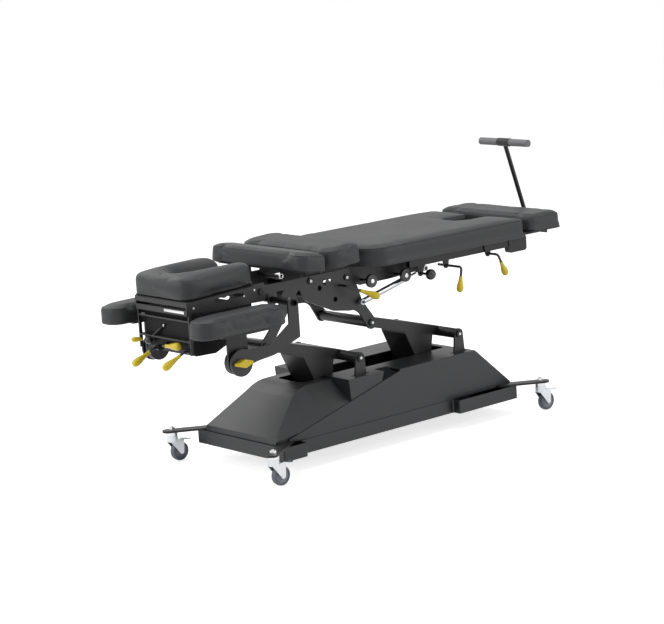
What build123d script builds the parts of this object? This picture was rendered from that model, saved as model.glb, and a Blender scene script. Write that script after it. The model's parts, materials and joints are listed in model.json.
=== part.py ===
from build123d import *
import os
from math import atan2, cos, hypot, pi, radians, sin, tan

os.makedirs("parts", exist_ok=True)

# Chiropractic table. Millimetres. +X runs from the head end to the foot end, -Y is the near side.
# The origin is on the floor, at the centre of the base between the castors.

# Running clearances
shaft_gap = 0.05
side_gap = 0.3
seat_gap = 0.3

# Base pan
base_length = 1230
base_width = 520
pan_bottom = 65
pan_height = 53
pan_sheet = 3
pan_recess = 37
recess_from = -500
recess_to = 290
pan_top = pan_bottom + pan_height
pan_floor = pan_bottom + pan_sheet

# Base cover
cover_wall = 4
cover_height = 292
cover_half_width = 220
cover_toe = 208
cover_start = -609
cover_end = 616
toe_height = 141
toe_slope = 38
crest_station = -364
crest_round = 150
crest_steps = 4
knee_half = 132
crest_half = 117
hip_station = 18
hip_half = 135
lip_start = (-560, 125)
lip_end = (18, 281)
lip_height = 12
lip_proud = 4
slope_station = 427
slot_from = -356
slot_to = 400
slot_half = 75
front_pad = (-245, -64)
pad_rise = 8
pad_bottom_height = 190
pad_head_rake = 10
pad_foot_rake = 39
slot_depth = 110
bracket_slot_depth = 60
bracket_slot_play = 2
slot_round = 20

# Castors
castor_x = 703
castor_y = 305
wheel_radius = 37.5
wheel_width = 26
trail = 29
axle_radius = 5
fork_sheet = 3
fork_plate_height = 84
raceway_radius = 22
raceway_height = 12
stem_radius = 6
arm_thickness = 8
castor_arm_width = 45
castor_arm_root = (560, 216)
castor_arm_tip = 14
nut_width = 22
nut_height = 11
pedal_pivot = (34, 82)
pedal_reach = 46
pedal_width = 24
pedal_sheet = 3

# Lift linkage
pivot_spacing = 527.5
rear_pivot_x = 376.5
pivot_height = 364
lift_length = 441.5
lift_angle = 15.2
beam_height = 40
beam_half = 71
beam_wall = 4
lower_tube_half = 177
upper_tube_half = 141
bracket_sheet = 8
bracket_top_radius = 22
bracket_foot_width = 96
pin_radius = 10
pin_head_radius = 15
pin_head = 6
knee_pin = (-70, -90)
knee_pin_radius = 8
knee_plate = 6
knee_half_width = 70
knee_round = 20
knee_crown = ((-182, 20), (-176, 48), (-31, 8))
knee_heel = (-122, -104)

# Actuator
trunnion = (575, 125)
trunnion_radius = 8
barrel_radius = 26
barrel_length = 215
barrel_bore = 12
rod_start = 70
rod_eye_radius = 25
rod_eye_play = 7.5
rod_eye_half = 18
motor_radius = 28
motor_length = 110
motor_offset = 64
mount_lug = 8
mount_half = 34

# Upper frame
plate_inner = 141
plate_sheet = 8
plate_top = 708
rail_depth = 32
rail_start = -606
plate_foot_end = -148
leg_eye_radius = 25
hinge_pin_radius = 8
flexion_axis = (-165, 675)
drop_axis = (-345, 690)
head_axis = (-588, 690)
arm_tube = (-530, 650)
arm_tube_radius = 12
arm_tube_half = 276
lug_round = 22
brace_radius = 11
brace_places = ((-225, 600), (-300, 655))
gas_foot = (-108, 572)
gas_head = (229, 650)
gas_y = 166
gas_cylinder_radius = 11
gas_rod_radius = 5
gas_eye_half = 8
gas_pin_radius = 5
gas_play = 2.6
gas_cylinder_length = 215
gas_rod_start = 95

# Chest section
bolster_start = -502
bolster_length = 134
bolster_lean = -7.4
bolster_half = 283
bolster_bottom = 757
bolster_thickness = 66
bolster_corner = 50
bolster_web_from = -480
bolster_web_to = -390
thoracic_start = -351
thoracic_length = 194
thoracic_tilt = 3.5
thoracic_bottom = 738
thoracic_thickness = 73
thoracic_corner = 60
cushion_half = 280
tray_sheet = 4
tray_half = 230
drop_lug = 6
drop_lug_outer = 137
drop_lug_round = 14

# Leg section
leg_start = -149
leg_end = 705
leg_top = 790
leg_head_corner = 115
leg_foot_corner = 28
notch_half = 60
notch_start = 545
edge_round = 14
leg_plate = 6
leg_plate_outer = 139
leg_plate_end = 262
leg_plate_belly = ((60, 632), (-90, 632))
member_sheet = 6
member_width = 30
member_mid = 420
slide_lug_at = 435
lug_flange = 40
rail_half = 210
rail_width = 20
rail_from = 100
rail_low = 675
rail_high = 712
rail_wall = 3
leg_bottom = rail_high + seat_gap
end_box = (645, 745)
end_box_low = 650
end_box_width = 26

# Foot section
foot_start = 722
foot_end = 920
foot_bottom = 729
foot_top = 791
foot_corner = 40
slide_half = 90
slide_size = 22
slide_wall = 3
slide_from = 540
slide_to = 992
slide_height = 694
board_sheet = 6
stem_foot = (998, 690)
stem_top = (872, 1062)
handle_stem_radius = 9
grip_half = 135
grip_radius = 15
grip_inner = 32
collar_radius = 17

# Head section
face_start = -945
face_length = 345
face_half = 170
face_lean = 2.4
face_bottom = 709
face_thickness = 84
face_corner = 50
face_round = 24
face_slot_half = 60
face_slot_from = 95
head_plate = 6
head_plate_start = -931
head_plate_end = -570
head_plate_low = (664, 652)
head_plate_slot = (-735, 693, 130, 14)
head_lip_low = 655
head_bar = 20
head_bar_sheet = 6
drop_bar_x = -925
drop_bar_width = 12
drop_bar_low = 510
cross_bar_low = 556
housing = (-905, -622)
housing_high = 650
housing_half = 138
housing_keel = ((-890, 500), (-800, 497), (-700, 538), (-622, 562))

# Armrests
lobe = (-787, 473)
lobe_radius = 50
hanger_inner = 262
hanger_sheet = 8
hanger_leg = (-557, -509)
swing_sheet = 8
swing_gap = 12
swing_drum = 18
swing_bore = 10
swing_radius = 46
swing_neck = 90
rest_board = (-900, -680)
rest_board_sheet = 6
armrest_start = -1000
armrest_end = -588
armrest_inner = 205
armrest_outer = 335
armrest_bottom = 590
armrest_top = 660
armrest_corner = 58
knob_stem_radius = 4
knob_hub_radius = 13
knob_hub_length = 22
wing_reach = 34
wing_sheet = 9

# Levers
rod_radius = 5
grip_large = 13
grip_small = 7
ball_radius = 21
disc_radius = 26
disc_thickness = 14
lever_lug = 6
chest_lever_place = (-200, 650)
lever_bore_depth = 4
lever_x = 318
lever_z = 650
rear_lever = (522, 668)
plunger_place = (180, 640)
knob_places = ((96, 646), (-81, 652))
lever_bend = 12
head_lever_eye = 8
head_lever_half = 5
head_lever_lug = 5
head_lever_pin = 4
head_lever_reach = 22
head_grip = 84
head_lever_places = {
    "near": (-126, 522, (-20, 0, -9)),
    "middle": (5, 532, (0, -25, 2)),
    "far": (58, 515, (-20, 0, -9)),
}

# Derived places
plate_outer = plate_inner + plate_sheet
front_pivot_x = rear_pivot_x - pivot_spacing
rise = radians(lift_angle)
link_run = lift_length * cos(rise)
link_climb = lift_length * sin(rise)
upper_pivot_height = pivot_height + link_climb


def across(high):
    """Plane facing the near side, with its sketch in X and Z, at y = high."""
    return Plane.XZ.offset(-high)


def finish(part, name):
    """Label a sub-part and write it."""
    part.label = name
    export_step(part, f"parts/{name}.step")


# Base pan: a folded tray with its long sides stepped in between the end blocks
with BuildPart() as base_pan:
    with BuildSketch(Plane.XY.offset(pan_bottom)):
        Rectangle(base_length, base_width)
        with Locations(
            ((recess_from + recess_to) / 2, base_width / 2),
            ((recess_from + recess_to) / 2, -base_width / 2),
        ):
            Rectangle(recess_to - recess_from, 2 * pan_recess, mode=Mode.SUBTRACT)
    extrude(amount=pan_height)
    fillet(base_pan.edges().filter_by(Axis.Z), radius=pan_sheet * 2)
    offset(amount=-pan_sheet, openings=base_pan.faces().sort_by(Axis.Z)[-1])
finish(base_pan.part, "base_pan")


def castor_corner(end, side):
    """Swivel axis of the castor at one corner of the base."""
    return end * castor_x, side * castor_y


corners = {
    "head_near": (-1, -1),
    "head_far": (-1, 1),
    "foot_near": (1, -1),
    "foot_far": (1, 1),
}

# Castor arms: flat bars with a round tip over each swivel, lying on the rim of the pan
splay = atan2(castor_y - castor_arm_root[1], castor_x - castor_arm_root[0])
tip_x = castor_x + castor_arm_tip * cos(splay)
tip_y = castor_y + castor_arm_tip * sin(splay)
with BuildPart() as castor_arms:
    for end, side in corners.values():
        with BuildSketch(Plane.XY.offset(pan_top)):
            with Locations(
                (end * castor_arm_root[0], side * castor_arm_root[1]),
                (end * tip_x, side * tip_y),
            ):
                Circle(castor_arm_width / 2)
            make_hull()
            with Locations(castor_corner(end, side)):
                Circle(stem_radius + shaft_gap, mode=Mode.SUBTRACT)
        extrude(amount=arm_thickness)
finish(castor_arms.part, "castor_arms")

# Castor stems: bolt, upper raceway under the arm and hexagon nut on top of it
raceway_top = pan_top
stem_head_height = fork_plate_height - fork_sheet - 4
with BuildPart() as castor_stems:
    for end, side in corners.values():
        place = castor_corner(end, side)
        with BuildSketch(Plane.XY.offset(stem_head_height)):
            with Locations(place):
                Circle(stem_radius * 1.5)
        extrude(amount=fork_plate_height - fork_sheet - stem_head_height - side_gap)
        with BuildSketch(Plane.XY.offset(stem_head_height)):
            with Locations(place):
                Circle(stem_radius)
        extrude(amount=pan_top + arm_thickness + nut_height + 4 - stem_head_height)
        with BuildSketch(Plane.XY.offset(raceway_top - raceway_height)):
            with Locations(place):
                Circle(raceway_radius)
        extrude(amount=raceway_height)
        with BuildSketch(Plane.XY.offset(pan_top + arm_thickness)):
            with Locations(place):
                RegularPolygon(nut_width / 2, 6, major_radius=False)
        extrude(amount=nut_height)
finish(castor_stems.part, "castor_stems")

# Castor forks, wheels and brake pedals
leg_gap = wheel_width / 2 + 2
for corner, (end, side) in corners.items():
    swivel_x, swivel_y = castor_corner(end, side)
    axle_x = swivel_x + trail
    with BuildPart() as fork:
        for leg in (-1, 1):
            leg_inner = swivel_y + leg * leg_gap
            leg_outer = leg_inner + leg * fork_sheet
            with BuildSketch(across(max(leg_inner, leg_outer))):
                with Locations((axle_x, wheel_radius)):
                    Circle(axle_radius * 2)
                with Locations((swivel_x + pedal_pivot[0], pedal_pivot[1])):
                    Circle(axle_radius * 1.6)
                with Locations((swivel_x, fork_plate_height - fork_sheet)):
                    Rectangle(raceway_radius * 1.4, 2 * fork_sheet)
                make_hull()
            extrude(amount=fork_sheet)
        with BuildSketch(Plane.XY.offset(fork_plate_height - fork_sheet)):
            with Locations((swivel_x, swivel_y)):
                Circle(raceway_radius)
        extrude(amount=raceway_top - raceway_height - side_gap - fork_plate_height + fork_sheet)
        with BuildSketch(across(swivel_y + leg_gap + fork_sheet)):
            with Locations((axle_x, wheel_radius)):
                Circle(axle_radius)
        extrude(amount=2 * (leg_gap + fork_sheet))
        with BuildSketch(across(swivel_y + leg_gap + fork_sheet)):
            with Locations((swivel_x + pedal_pivot[0], pedal_pivot[1])):
                Circle(fork_sheet)
        extrude(amount=2 * (leg_gap + fork_sheet))
        with BuildSketch(Plane.XY.offset(fork_plate_height - 2 * fork_sheet)):
            with Locations((swivel_x, swivel_y)):
                Circle(stem_radius + shaft_gap)
        extrude(amount=raceway_top, mode=Mode.SUBTRACT)
    finish(fork.part, f"castor_fork_{corner}")

    with BuildPart() as wheel:
        with BuildSketch(Plane((axle_x, swivel_y, wheel_radius), x_dir=(1, 0, 0), z_dir=(0, 0, 1))):
            with BuildLine():
                Polyline(
                    (axle_radius + shaft_gap, -wheel_width / 2 - 1),
                    (wheel_radius * 0.32, -wheel_width / 2 - 1),
                    (wheel_radius * 0.36, -wheel_width / 4),
                    (wheel_radius * 0.62, -wheel_width / 4),
                    (wheel_radius * 0.68, -wheel_width / 2),
                    (wheel_radius * 0.9, -wheel_width / 2),
                )
                ThreePointArc(
                    (wheel_radius * 0.9, -wheel_width / 2),
                    (wheel_radius, 0),
                    (wheel_radius * 0.9, wheel_width / 2),
                )
                Polyline(
                    (wheel_radius * 0.9, wheel_width / 2),
                    (wheel_radius * 0.68, wheel_width / 2),
                    (wheel_radius * 0.62, wheel_width / 4),
                    (wheel_radius * 0.36, wheel_width / 4),
                    (wheel_radius * 0.32, wheel_width / 2 + 1),
                    (axle_radius + shaft_gap, wheel_width / 2 + 1),
                    (axle_radius + shaft_gap, -wheel_width / 2 - 1),
                )
            make_face()
        revolve(axis=Axis((axle_x, swivel_y, wheel_radius), (0, 1, 0)))
    finish(wheel.part, f"castor_wheel_{corner}")

    pedal_x = swivel_x + pedal_pivot[0]
    with BuildPart() as pedal:
        with BuildSketch(across(swivel_y + pedal_width / 2)):
            with Locations((pedal_x, pedal_pivot[1])):
                Circle(2 * fork_sheet)
            Polygon(
                (pedal_x, pedal_pivot[1] + 2 * pedal_sheet),
                (pedal_x, pedal_pivot[1]),
                (pedal_x + pedal_reach, pedal_pivot[1] - 2 * pedal_sheet),
                (pedal_x + pedal_reach + pedal_sheet, pedal_pivot[1] + pedal_sheet),
                (pedal_x + pedal_reach - pedal_sheet, pedal_pivot[1] - pedal_sheet),
                align=None,
            )
            with Locations((pedal_x, pedal_pivot[1])):
                Circle(fork_sheet + shaft_gap, mode=Mode.SUBTRACT)
        extrude(amount=pedal_width)
    finish(pedal.part, f"brake_pedal_{corner}")

# Pivot brackets: four tapered plates that stand on the pan and come up through the cover
bracket_faces = (lower_tube_half + side_gap, lower_tube_half + side_gap + bracket_sheet)
with BuildPart() as pivot_brackets:
    for pivot_x in (front_pivot_x, rear_pivot_x):
        for plate_face in (bracket_faces[1], -bracket_faces[0]):
            with BuildSketch(across(plate_face)):
                with Locations((pivot_x, pivot_height)):
                    Circle(bracket_top_radius)
                with Locations((pivot_x, pan_floor + pan_sheet)):
                    Rectangle(bracket_foot_width, 2 * pan_sheet)
                make_hull()
                with Locations((pivot_x, pivot_height)):
                    Circle(pin_radius + shaft_gap, mode=Mode.SUBTRACT)
            extrude(amount=bracket_sheet)
finish(pivot_brackets.part, "pivot_brackets")

# Lower pivot pins with a flat head outside each bracket
with BuildPart() as lower_pins:
    for pivot_x in (front_pivot_x, rear_pivot_x):
        with BuildSketch(across(bracket_faces[1] + pin_head)):
            with Locations((pivot_x, pivot_height)):
                Circle(pin_radius)
        extrude(amount=2 * (bracket_faces[1] + pin_head))
        for head_face in (bracket_faces[1] + pin_head, -bracket_faces[1]):
            with BuildSketch(across(head_face)):
                with Locations((pivot_x, pivot_height)):
                    Circle(pin_head_radius)
            extrude(amount=pin_head)
finish(lower_pins.part, "lower_pivot_pins")

def lip_line(x):
    """Height of the diagonal lip at one place along the cover."""
    share = (x - lip_start[0]) / (lip_end[0] - lip_start[0])
    return lip_start[1] + share * (lip_end[1] - lip_start[1])


# Base cover: hipped shell with a rolled crest, a diagonal lip and a long slot for the lift arms
with BuildPart() as base_cover:
    for inset, mode in ((0, Mode.ADD), (cover_wall, Mode.SUBTRACT)):
        low = pan_top - (1 if inset else 0)
        stations = [(cover_start + inset, cover_toe, toe_height - cover_wall * 2, cover_toe - cover_wall, toe_height)]
        for step in range(crest_steps + 1):
            bend = radians(toe_slope) * (1 - step / crest_steps)
            x = crest_station - crest_round * sin(bend)
            roof = knee_half + (crest_half - knee_half) * step / crest_steps
            top = cover_height - crest_round * (1 - cos(bend))
            stations.append((x, cover_half_width, lip_line(x), roof, top))
        stations.append((hip_station, cover_half_width, lip_end[1], hip_half, cover_height))
        for x, foot, shoulder, roof, top in stations:
            with BuildSketch(Plane.YZ.offset(x)):
                Polygon(
                    (-foot + inset, low),
                    (foot - inset, low),
                    (foot - inset, shoulder - inset),
                    (roof - inset, top - inset),
                    (-roof + inset, top - inset),
                    (-foot + inset, shoulder - inset),
                    align=None,
                )
        loft(ruled=True, mode=mode)
        with BuildSketch(Plane.XZ):
            Polygon(
                (hip_station - inset, low),
                (hip_station - inset, cover_height - inset),
                (slope_station - inset / 2, cover_height - inset),
                (cover_end - inset, pan_top + 12 - inset),
                (cover_end - inset, low),
                align=None,
            )
        extrude(amount=cover_half_width - inset, both=True, mode=mode)
    with BuildSketch(Plane.XZ):
        Polygon(
            (front_pad[0] + pad_head_rake, pad_bottom_height),
            (front_pad[0], cover_height + pad_rise),
            (front_pad[1], cover_height + pad_rise),
            (front_pad[1] - pad_foot_rake, pad_bottom_height),
            align=None,
        )
    extrude(amount=cover_half_width, both=True)
    with BuildSketch(Plane.XZ):
        Polygon(
            (front_pad[0] + pad_head_rake + cover_wall, pad_bottom_height - side_gap),
            (front_pad[0] + cover_wall, cover_height + pad_rise - cover_wall),
            (front_pad[1] - cover_wall, cover_height + pad_rise - cover_wall),
            (front_pad[1] - pad_foot_rake - cover_wall, pad_bottom_height - side_gap),
            align=None,
        )
    extrude(amount=cover_half_width - cover_wall, both=True, mode=Mode.SUBTRACT)
    for lip_face in (cover_half_width + lip_proud, -cover_half_width + cover_wall / 2):
        with BuildSketch(across(lip_face)):
            with Locations((lip_start[0] + lip_height, lip_line(lip_start[0] + lip_height)), lip_end):
                Circle(lip_height / 2)
            make_hull()
        extrude(amount=lip_proud + cover_wall / 2)
    with BuildSketch(Plane.XY.offset(cover_height - slot_depth)):
        with Locations(((slot_from + slot_to) / 2, 0)):
            RectangleRounded(slot_to - slot_from, 2 * slot_half, slot_round)
    extrude(amount=slot_depth + 2 * pad_rise, mode=Mode.SUBTRACT)
    for pivot_x in (front_pivot_x, rear_pivot_x):
        for side in (-1, 1):
            with BuildSketch(Plane.XY.offset(cover_height - bracket_slot_depth)):
                with Locations((pivot_x, side * (bracket_faces[0] + bracket_sheet / 2))):
                    Rectangle(bracket_foot_width, bracket_sheet + bracket_slot_play)
            extrude(amount=bracket_slot_depth + 2 * pad_rise, mode=Mode.SUBTRACT)
    for end, side in corners.values():
        with BuildSketch(Plane.XY.offset(pan_top)):
            with Locations(
                (end * castor_arm_root[0], side * castor_arm_root[1]),
                (end * tip_x, side * tip_y),
            ):
                Circle(castor_arm_width / 2 + side_gap)
            make_hull()
        extrude(amount=arm_thickness + side_gap, mode=Mode.SUBTRACT)
finish(base_cover.part, "base_cover")


def lift_arm(pivot_x):
    """Box beam with a cross tube at each end and a hollow knee below it."""
    upper_x = pivot_x - link_run
    pin_x = pivot_x + knee_pin[0]
    pin_z = pivot_height + knee_pin[1]
    with BuildPart() as arm:
        with BuildSketch(Plane.XZ):
            with Locations((pivot_x, pivot_height), (upper_x, upper_pivot_height)):
                Circle(beam_height / 2)
            make_hull()
        extrude(amount=beam_half, both=True)
        with BuildSketch(Plane.XZ):
            with Locations((pivot_x - 60 * cos(rise), pivot_height + 60 * sin(rise))):
                Circle(beam_height / 2 - beam_wall)
            with Locations((upper_x + 40 * cos(rise), upper_pivot_height - 40 * sin(rise))):
                Circle(beam_height / 2 - beam_wall)
            make_hull()
        extrude(amount=beam_half - beam_wall, both=True, mode=Mode.SUBTRACT)
        with BuildSketch(Plane.XZ):
            with BuildLine():
                Polyline(
                    (pin_x, pin_z - knee_round),
                    (pivot_x + knee_heel[0], pivot_height + knee_heel[1]),
                    *((pivot_x + place[0], pivot_height + place[1]) for place in knee_crown),
                    (pin_x + knee_round, pin_z),
                )
                ThreePointArc(
                    (pin_x + knee_round, pin_z),
                    (pin_x + knee_round * sin(pi / 4), pin_z - knee_round * sin(pi / 4)),
                    (pin_x, pin_z - knee_round),
                )
            make_face()
        extrude(amount=knee_half_width, both=True)
        with BuildSketch(Plane.XZ):
            Polygon(
                (pivot_x + knee_crown[0][0] + 2.4 * knee_plate, pivot_height + knee_crown[0][1] - knee_plate),
                (pivot_x + knee_crown[2][0] - 2 * knee_plate, pivot_height - beam_height / 2 + knee_plate),
                (pin_x + 2 * knee_round, pin_z),
                (pin_x + 2 * knee_round, pin_z - 2 * knee_round),
                (pivot_x + knee_heel[0] + 3 * knee_plate, pin_z - 2 * knee_round),
                (pivot_x + knee_heel[0] + 1.3 * knee_plate, pivot_height + knee_heel[1]),
                align=None,
            )
        extrude(amount=knee_half_width - knee_plate, both=True, mode=Mode.SUBTRACT)
        with BuildSketch(Plane.XZ):
            with Locations((pin_x, pin_z)):
                Circle(knee_pin_radius)
        extrude(amount=knee_half_width, both=True)
        for tube_x, tube_z, tube_half in (
            (pivot_x, pivot_height, lower_tube_half),
            (upper_x, upper_pivot_height, upper_tube_half - side_gap),
        ):
            with BuildSketch(Plane.XZ):
                with Locations((tube_x, tube_z)):
                    Circle(beam_height / 2)
            extrude(amount=tube_half, both=True)
            with BuildSketch(Plane.XZ):
                with Locations((tube_x, tube_z)):
                    Circle(pin_radius + shaft_gap)
            extrude(amount=tube_half, both=True, mode=Mode.SUBTRACT)
    return arm.part


finish(lift_arm(rear_pivot_x), "rear_lift_arm")
finish(lift_arm(front_pivot_x), "front_lift_arm")

# Actuator: its own axis runs from the trunnion to the rear knee pin
knee_point = (rear_pivot_x + knee_pin[0], pivot_height + knee_pin[1])
stroke_run = knee_point[0] - trunnion[0]
stroke_climb = knee_point[1] - trunnion[1]
stroke_length = hypot(stroke_run, stroke_climb)
stroke_x = stroke_run / stroke_length
stroke_z = stroke_climb / stroke_length


def along_stroke(distance, shift=0):
    """Plane square to the actuator, at a distance from the trunnion."""
    origin = (trunnion[0] + distance * stroke_x, shift, trunnion[1] + distance * stroke_z)
    return Plane(origin, x_dir=(0, 1, 0), z_dir=(stroke_x, 0, stroke_z))


with BuildPart() as actuator_mount:
    for lug_face in (-mount_half + mount_lug, mount_half):
        with BuildSketch(across(lug_face)):
            with Locations(trunnion):
                Circle(2 * trunnion_radius)
            with Locations((trunnion[0], pan_floor + pan_sheet)):
                Rectangle(6 * trunnion_radius, 2 * pan_sheet)
            make_hull()
        extrude(amount=mount_lug)
    with BuildSketch(Plane.XZ):
        with Locations(trunnion):
            Circle(trunnion_radius)
    extrude(amount=mount_half, both=True)
finish(actuator_mount.part, "actuator_mount")

with BuildPart() as actuator_barrel:
    with BuildSketch(along_stroke(trunnion_radius * 1.5)):
        Circle(barrel_radius)
    extrude(amount=barrel_length - trunnion_radius * 1.5)
    with BuildSketch(Plane.XZ):
        with Locations(trunnion):
            Circle(2 * trunnion_radius)
    extrude(amount=mount_half - mount_lug - side_gap, both=True)
    with BuildSketch(along_stroke(trunnion_radius * 4)):
        with Locations((0, 0), (motor_offset, 0)):
            Circle(motor_radius)
        make_hull()
    extrude(amount=barrel_radius)
    with BuildSketch(along_stroke(trunnion_radius * 4 + barrel_radius)):
        with Locations((motor_offset, 0)):
            Circle(motor_radius - 2)
    extrude(amount=motor_length)
    with BuildSketch(Plane.XZ):
        with Locations(trunnion):
            Circle(trunnion_radius + shaft_gap)
    extrude(amount=mount_half, both=True, mode=Mode.SUBTRACT)
    with BuildSketch(along_stroke(trunnion_radius * 3.5)):
        Circle(barrel_bore + shaft_gap)
    extrude(amount=barrel_length, mode=Mode.SUBTRACT)
finish(actuator_barrel.part, "actuator_barrel")

with BuildPart() as actuator_rod:
    with BuildSketch(along_stroke(rod_start)):
        Circle(barrel_bore)
    extrude(amount=stroke_length - rod_start - rod_eye_radius + 4)
    with BuildSketch(Plane.XZ):
        with Locations(knee_point):
            Circle(rod_eye_radius)
    extrude(amount=rod_eye_half, both=True)
    with BuildSketch(Plane.XZ):
        with Locations(knee_point):
            Circle(knee_pin_radius + rod_eye_play)
    extrude(amount=rod_eye_half, both=True, mode=Mode.SUBTRACT)
finish(actuator_rod.part, "actuator_rod")

# Upper frame: two arched side plates
front_upper = (front_pivot_x - link_run, upper_pivot_height)
rear_upper = (rear_pivot_x - link_run, upper_pivot_height)
for hand, side in (("near", -1), ("far", 1)):
    with BuildPart() as side_plate:
        with BuildSketch(across(-plate_inner if side < 0 else plate_outer)):
            with BuildLine():
                Polyline(
                    (rail_start, plate_top),
                    (plate_foot_end, plate_top),
                    (-113, 637),
                    (-92, 576),
                    (rear_upper[0] + 15, rear_upper[1] + 20),
                )
                ThreePointArc(
                    (rear_upper[0] + 15, rear_upper[1] + 20),
                    (rear_upper[0] + 7, rear_upper[1] - 24),
                    (rear_upper[0] - 22, rear_upper[1] - 11),
                )
                Line((rear_upper[0] - 22, rear_upper[1] - 11), (-103, 521))
                ThreePointArc((-103, 521), (-124, 538), (-156, 544))
                Polyline((-156, 544), (-236, 557), (-347, 607))
                ThreePointArc((-347, 607), (-372, 620), (-384, 640))
                Polyline(
                    (-384, 640),
                    (-396, plate_top - rail_depth),
                    (front_upper[0] + 19, front_upper[1] - 16),
                )
                ThreePointArc(
                    (front_upper[0] + 19, front_upper[1] - 16),
                    (front_upper[0] - 4, front_upper[1] - 24.6),
                    (front_upper[0] - 22, front_upper[1] + 11),
                )
                Polyline(
                    (front_upper[0] - 22, front_upper[1] + 11),
                    (-553, 538),
                    (-468, plate_top - rail_depth),
                    (rail_start, plate_top - rail_depth),
                    (rail_start, plate_top),
                )
            make_face()
            with Locations((arm_tube[0], arm_tube[1])):
                Circle(lug_round)
            with Locations((arm_tube[0], (arm_tube[1] + plate_top) / 2)):
                Rectangle(2 * lug_round, plate_top - arm_tube[1])
            with Locations(head_axis):
                Circle(lug_round)
            with Locations(front_upper, rear_upper):
                Circle(leg_eye_radius)
            with Locations(front_upper, rear_upper):
                Circle(pin_radius + shaft_gap, mode=Mode.SUBTRACT)
            with Locations(flexion_axis, drop_axis, head_axis):
                Circle(hinge_pin_radius + shaft_gap, mode=Mode.SUBTRACT)
            with Locations(arm_tube):
                Circle(arm_tube_radius + shaft_gap, mode=Mode.SUBTRACT)
            with Locations(gas_foot):
                Circle(gas_pin_radius + shaft_gap, mode=Mode.SUBTRACT)
            with Locations(*brace_places):
                Circle(brace_radius + shaft_gap, mode=Mode.SUBTRACT)
            with Locations(chest_lever_place):
                Circle(rod_radius + shaft_gap, mode=Mode.SUBTRACT)
            with Locations((-258, 676)):
                SlotOverall(44, 10, mode=Mode.SUBTRACT)
        extrude(amount=plate_sheet)
    finish(side_plate.part, f"upper_side_plate_{hand}")

# Cross tubes of the upper frame, and the tube that carries the armrest hangers
with BuildPart() as cross_tubes:
    for place, radius, half in (
        (arm_tube, arm_tube_radius, arm_tube_half),
        *((place, brace_radius, plate_outer) for place in brace_places),
    ):
        with BuildSketch(Plane.XZ):
            with Locations(place):
                Circle(radius)
                Circle(radius - 3, mode=Mode.SUBTRACT)
        extrude(amount=half, both=True)
finish(cross_tubes.part, "upper_cross_tubes")

# Upper pivot pins, and the pins of the drop, flexion and head hinges
head_pin_half = plate_outer + side_gap + head_plate
with BuildPart() as upper_pins:
    for place, radius, half in (
        (front_upper, pin_radius, plate_outer),
        (rear_upper, pin_radius, plate_outer),
        (drop_axis, hinge_pin_radius, plate_outer),
        (flexion_axis, hinge_pin_radius, plate_outer),
        (head_axis, hinge_pin_radius, head_pin_half),
    ):
        with BuildSketch(Plane.XZ):
            with Locations(place):
                Circle(radius)
        extrude(amount=half + pin_head, both=True)
        for head_face in (half + pin_head, -half - side_gap):
            with BuildSketch(across(head_face)):
                with Locations(place):
                    Circle(radius * 1.5)
            extrude(amount=pin_head - side_gap)
    with BuildSketch(across(-plate_inner)):
        with Locations(gas_foot):
            Circle(gas_pin_radius)
    extrude(amount=gas_y + gas_eye_half + 3 - plate_inner)
finish(upper_pins.part, "upper_pivot_pins")



def leaning(x, z, lean, height, shift=0):
    """Plane that leans about the cross axis at one place, raised along its own normal."""
    origin = (x - height * sin(lean), shift, z + height * cos(lean))
    return Plane(origin, x_dir=(cos(lean), 0, sin(lean)), z_dir=(-sin(lean), 0, cos(lean)))


# Chest bolster, high on its head side, on a folded tray that stands on the side plates
chest_lean = radians(bolster_lean)


def bolster_base(x):
    """Height of the middle of the bolster tray's sheet."""
    return bolster_bottom - seat_gap - tray_sheet / 2 + (x - bolster_start) * tan(chest_lean)


with BuildPart() as bolster_tray:
    with BuildSketch(leaning(bolster_start, bolster_bottom, chest_lean, -seat_gap - tray_sheet)):
        with Locations((bolster_length / 2, 0)):
            RectangleRounded(bolster_length - bolster_corner / 2, 2 * tray_half, bolster_corner / 2)
    extrude(amount=tray_sheet)
    for web_face in (plate_outer, -plate_inner):
        with BuildSketch(across(web_face)):
            Polygon(
                (bolster_web_from, plate_top),
                (bolster_web_to, plate_top),
                (bolster_web_to, bolster_base(bolster_web_to)),
                (bolster_web_from, bolster_base(bolster_web_from)),
                align=None,
            )
        extrude(amount=plate_sheet)
finish(bolster_tray.part, "bolster_tray")

with BuildPart() as bolster_cushion:
    with BuildSketch(leaning(bolster_start, bolster_bottom, chest_lean, 0)) as bolster_plan:
        with Locations((bolster_length / 2, 0)):
            Rectangle(bolster_length, 2 * bolster_half)
        fillet(bolster_plan.vertices().group_by(Axis.X)[0], radius=bolster_corner)
    extrude(amount=bolster_thickness)
    fillet(bolster_cushion.faces().sort_by(Axis.Z)[-1].edges(), radius=edge_round)
finish(bolster_cushion.part, "bolster_cushion")

# Thoracic cushion and its drop tray, both in the cocked plane
tilt = radians(thoracic_tilt)


def tray_underside(x):
    """Height of the drop tray's lower face at one place along the table."""
    return thoracic_bottom - (seat_gap + tray_sheet) / cos(tilt) + (x - thoracic_start) * tan(tilt)


with BuildPart() as thoracic_cushion:
    with BuildSketch(leaning(thoracic_start, thoracic_bottom, tilt, 0)):
        with Locations((thoracic_length / 2, 0)):
            RectangleRounded(thoracic_length, 2 * cushion_half, thoracic_corner)
    extrude(amount=thoracic_thickness)
    fillet(thoracic_cushion.faces().sort_by(Axis.Z)[-1].edges(), radius=edge_round)
finish(thoracic_cushion.part, "thoracic_cushion")

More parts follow.
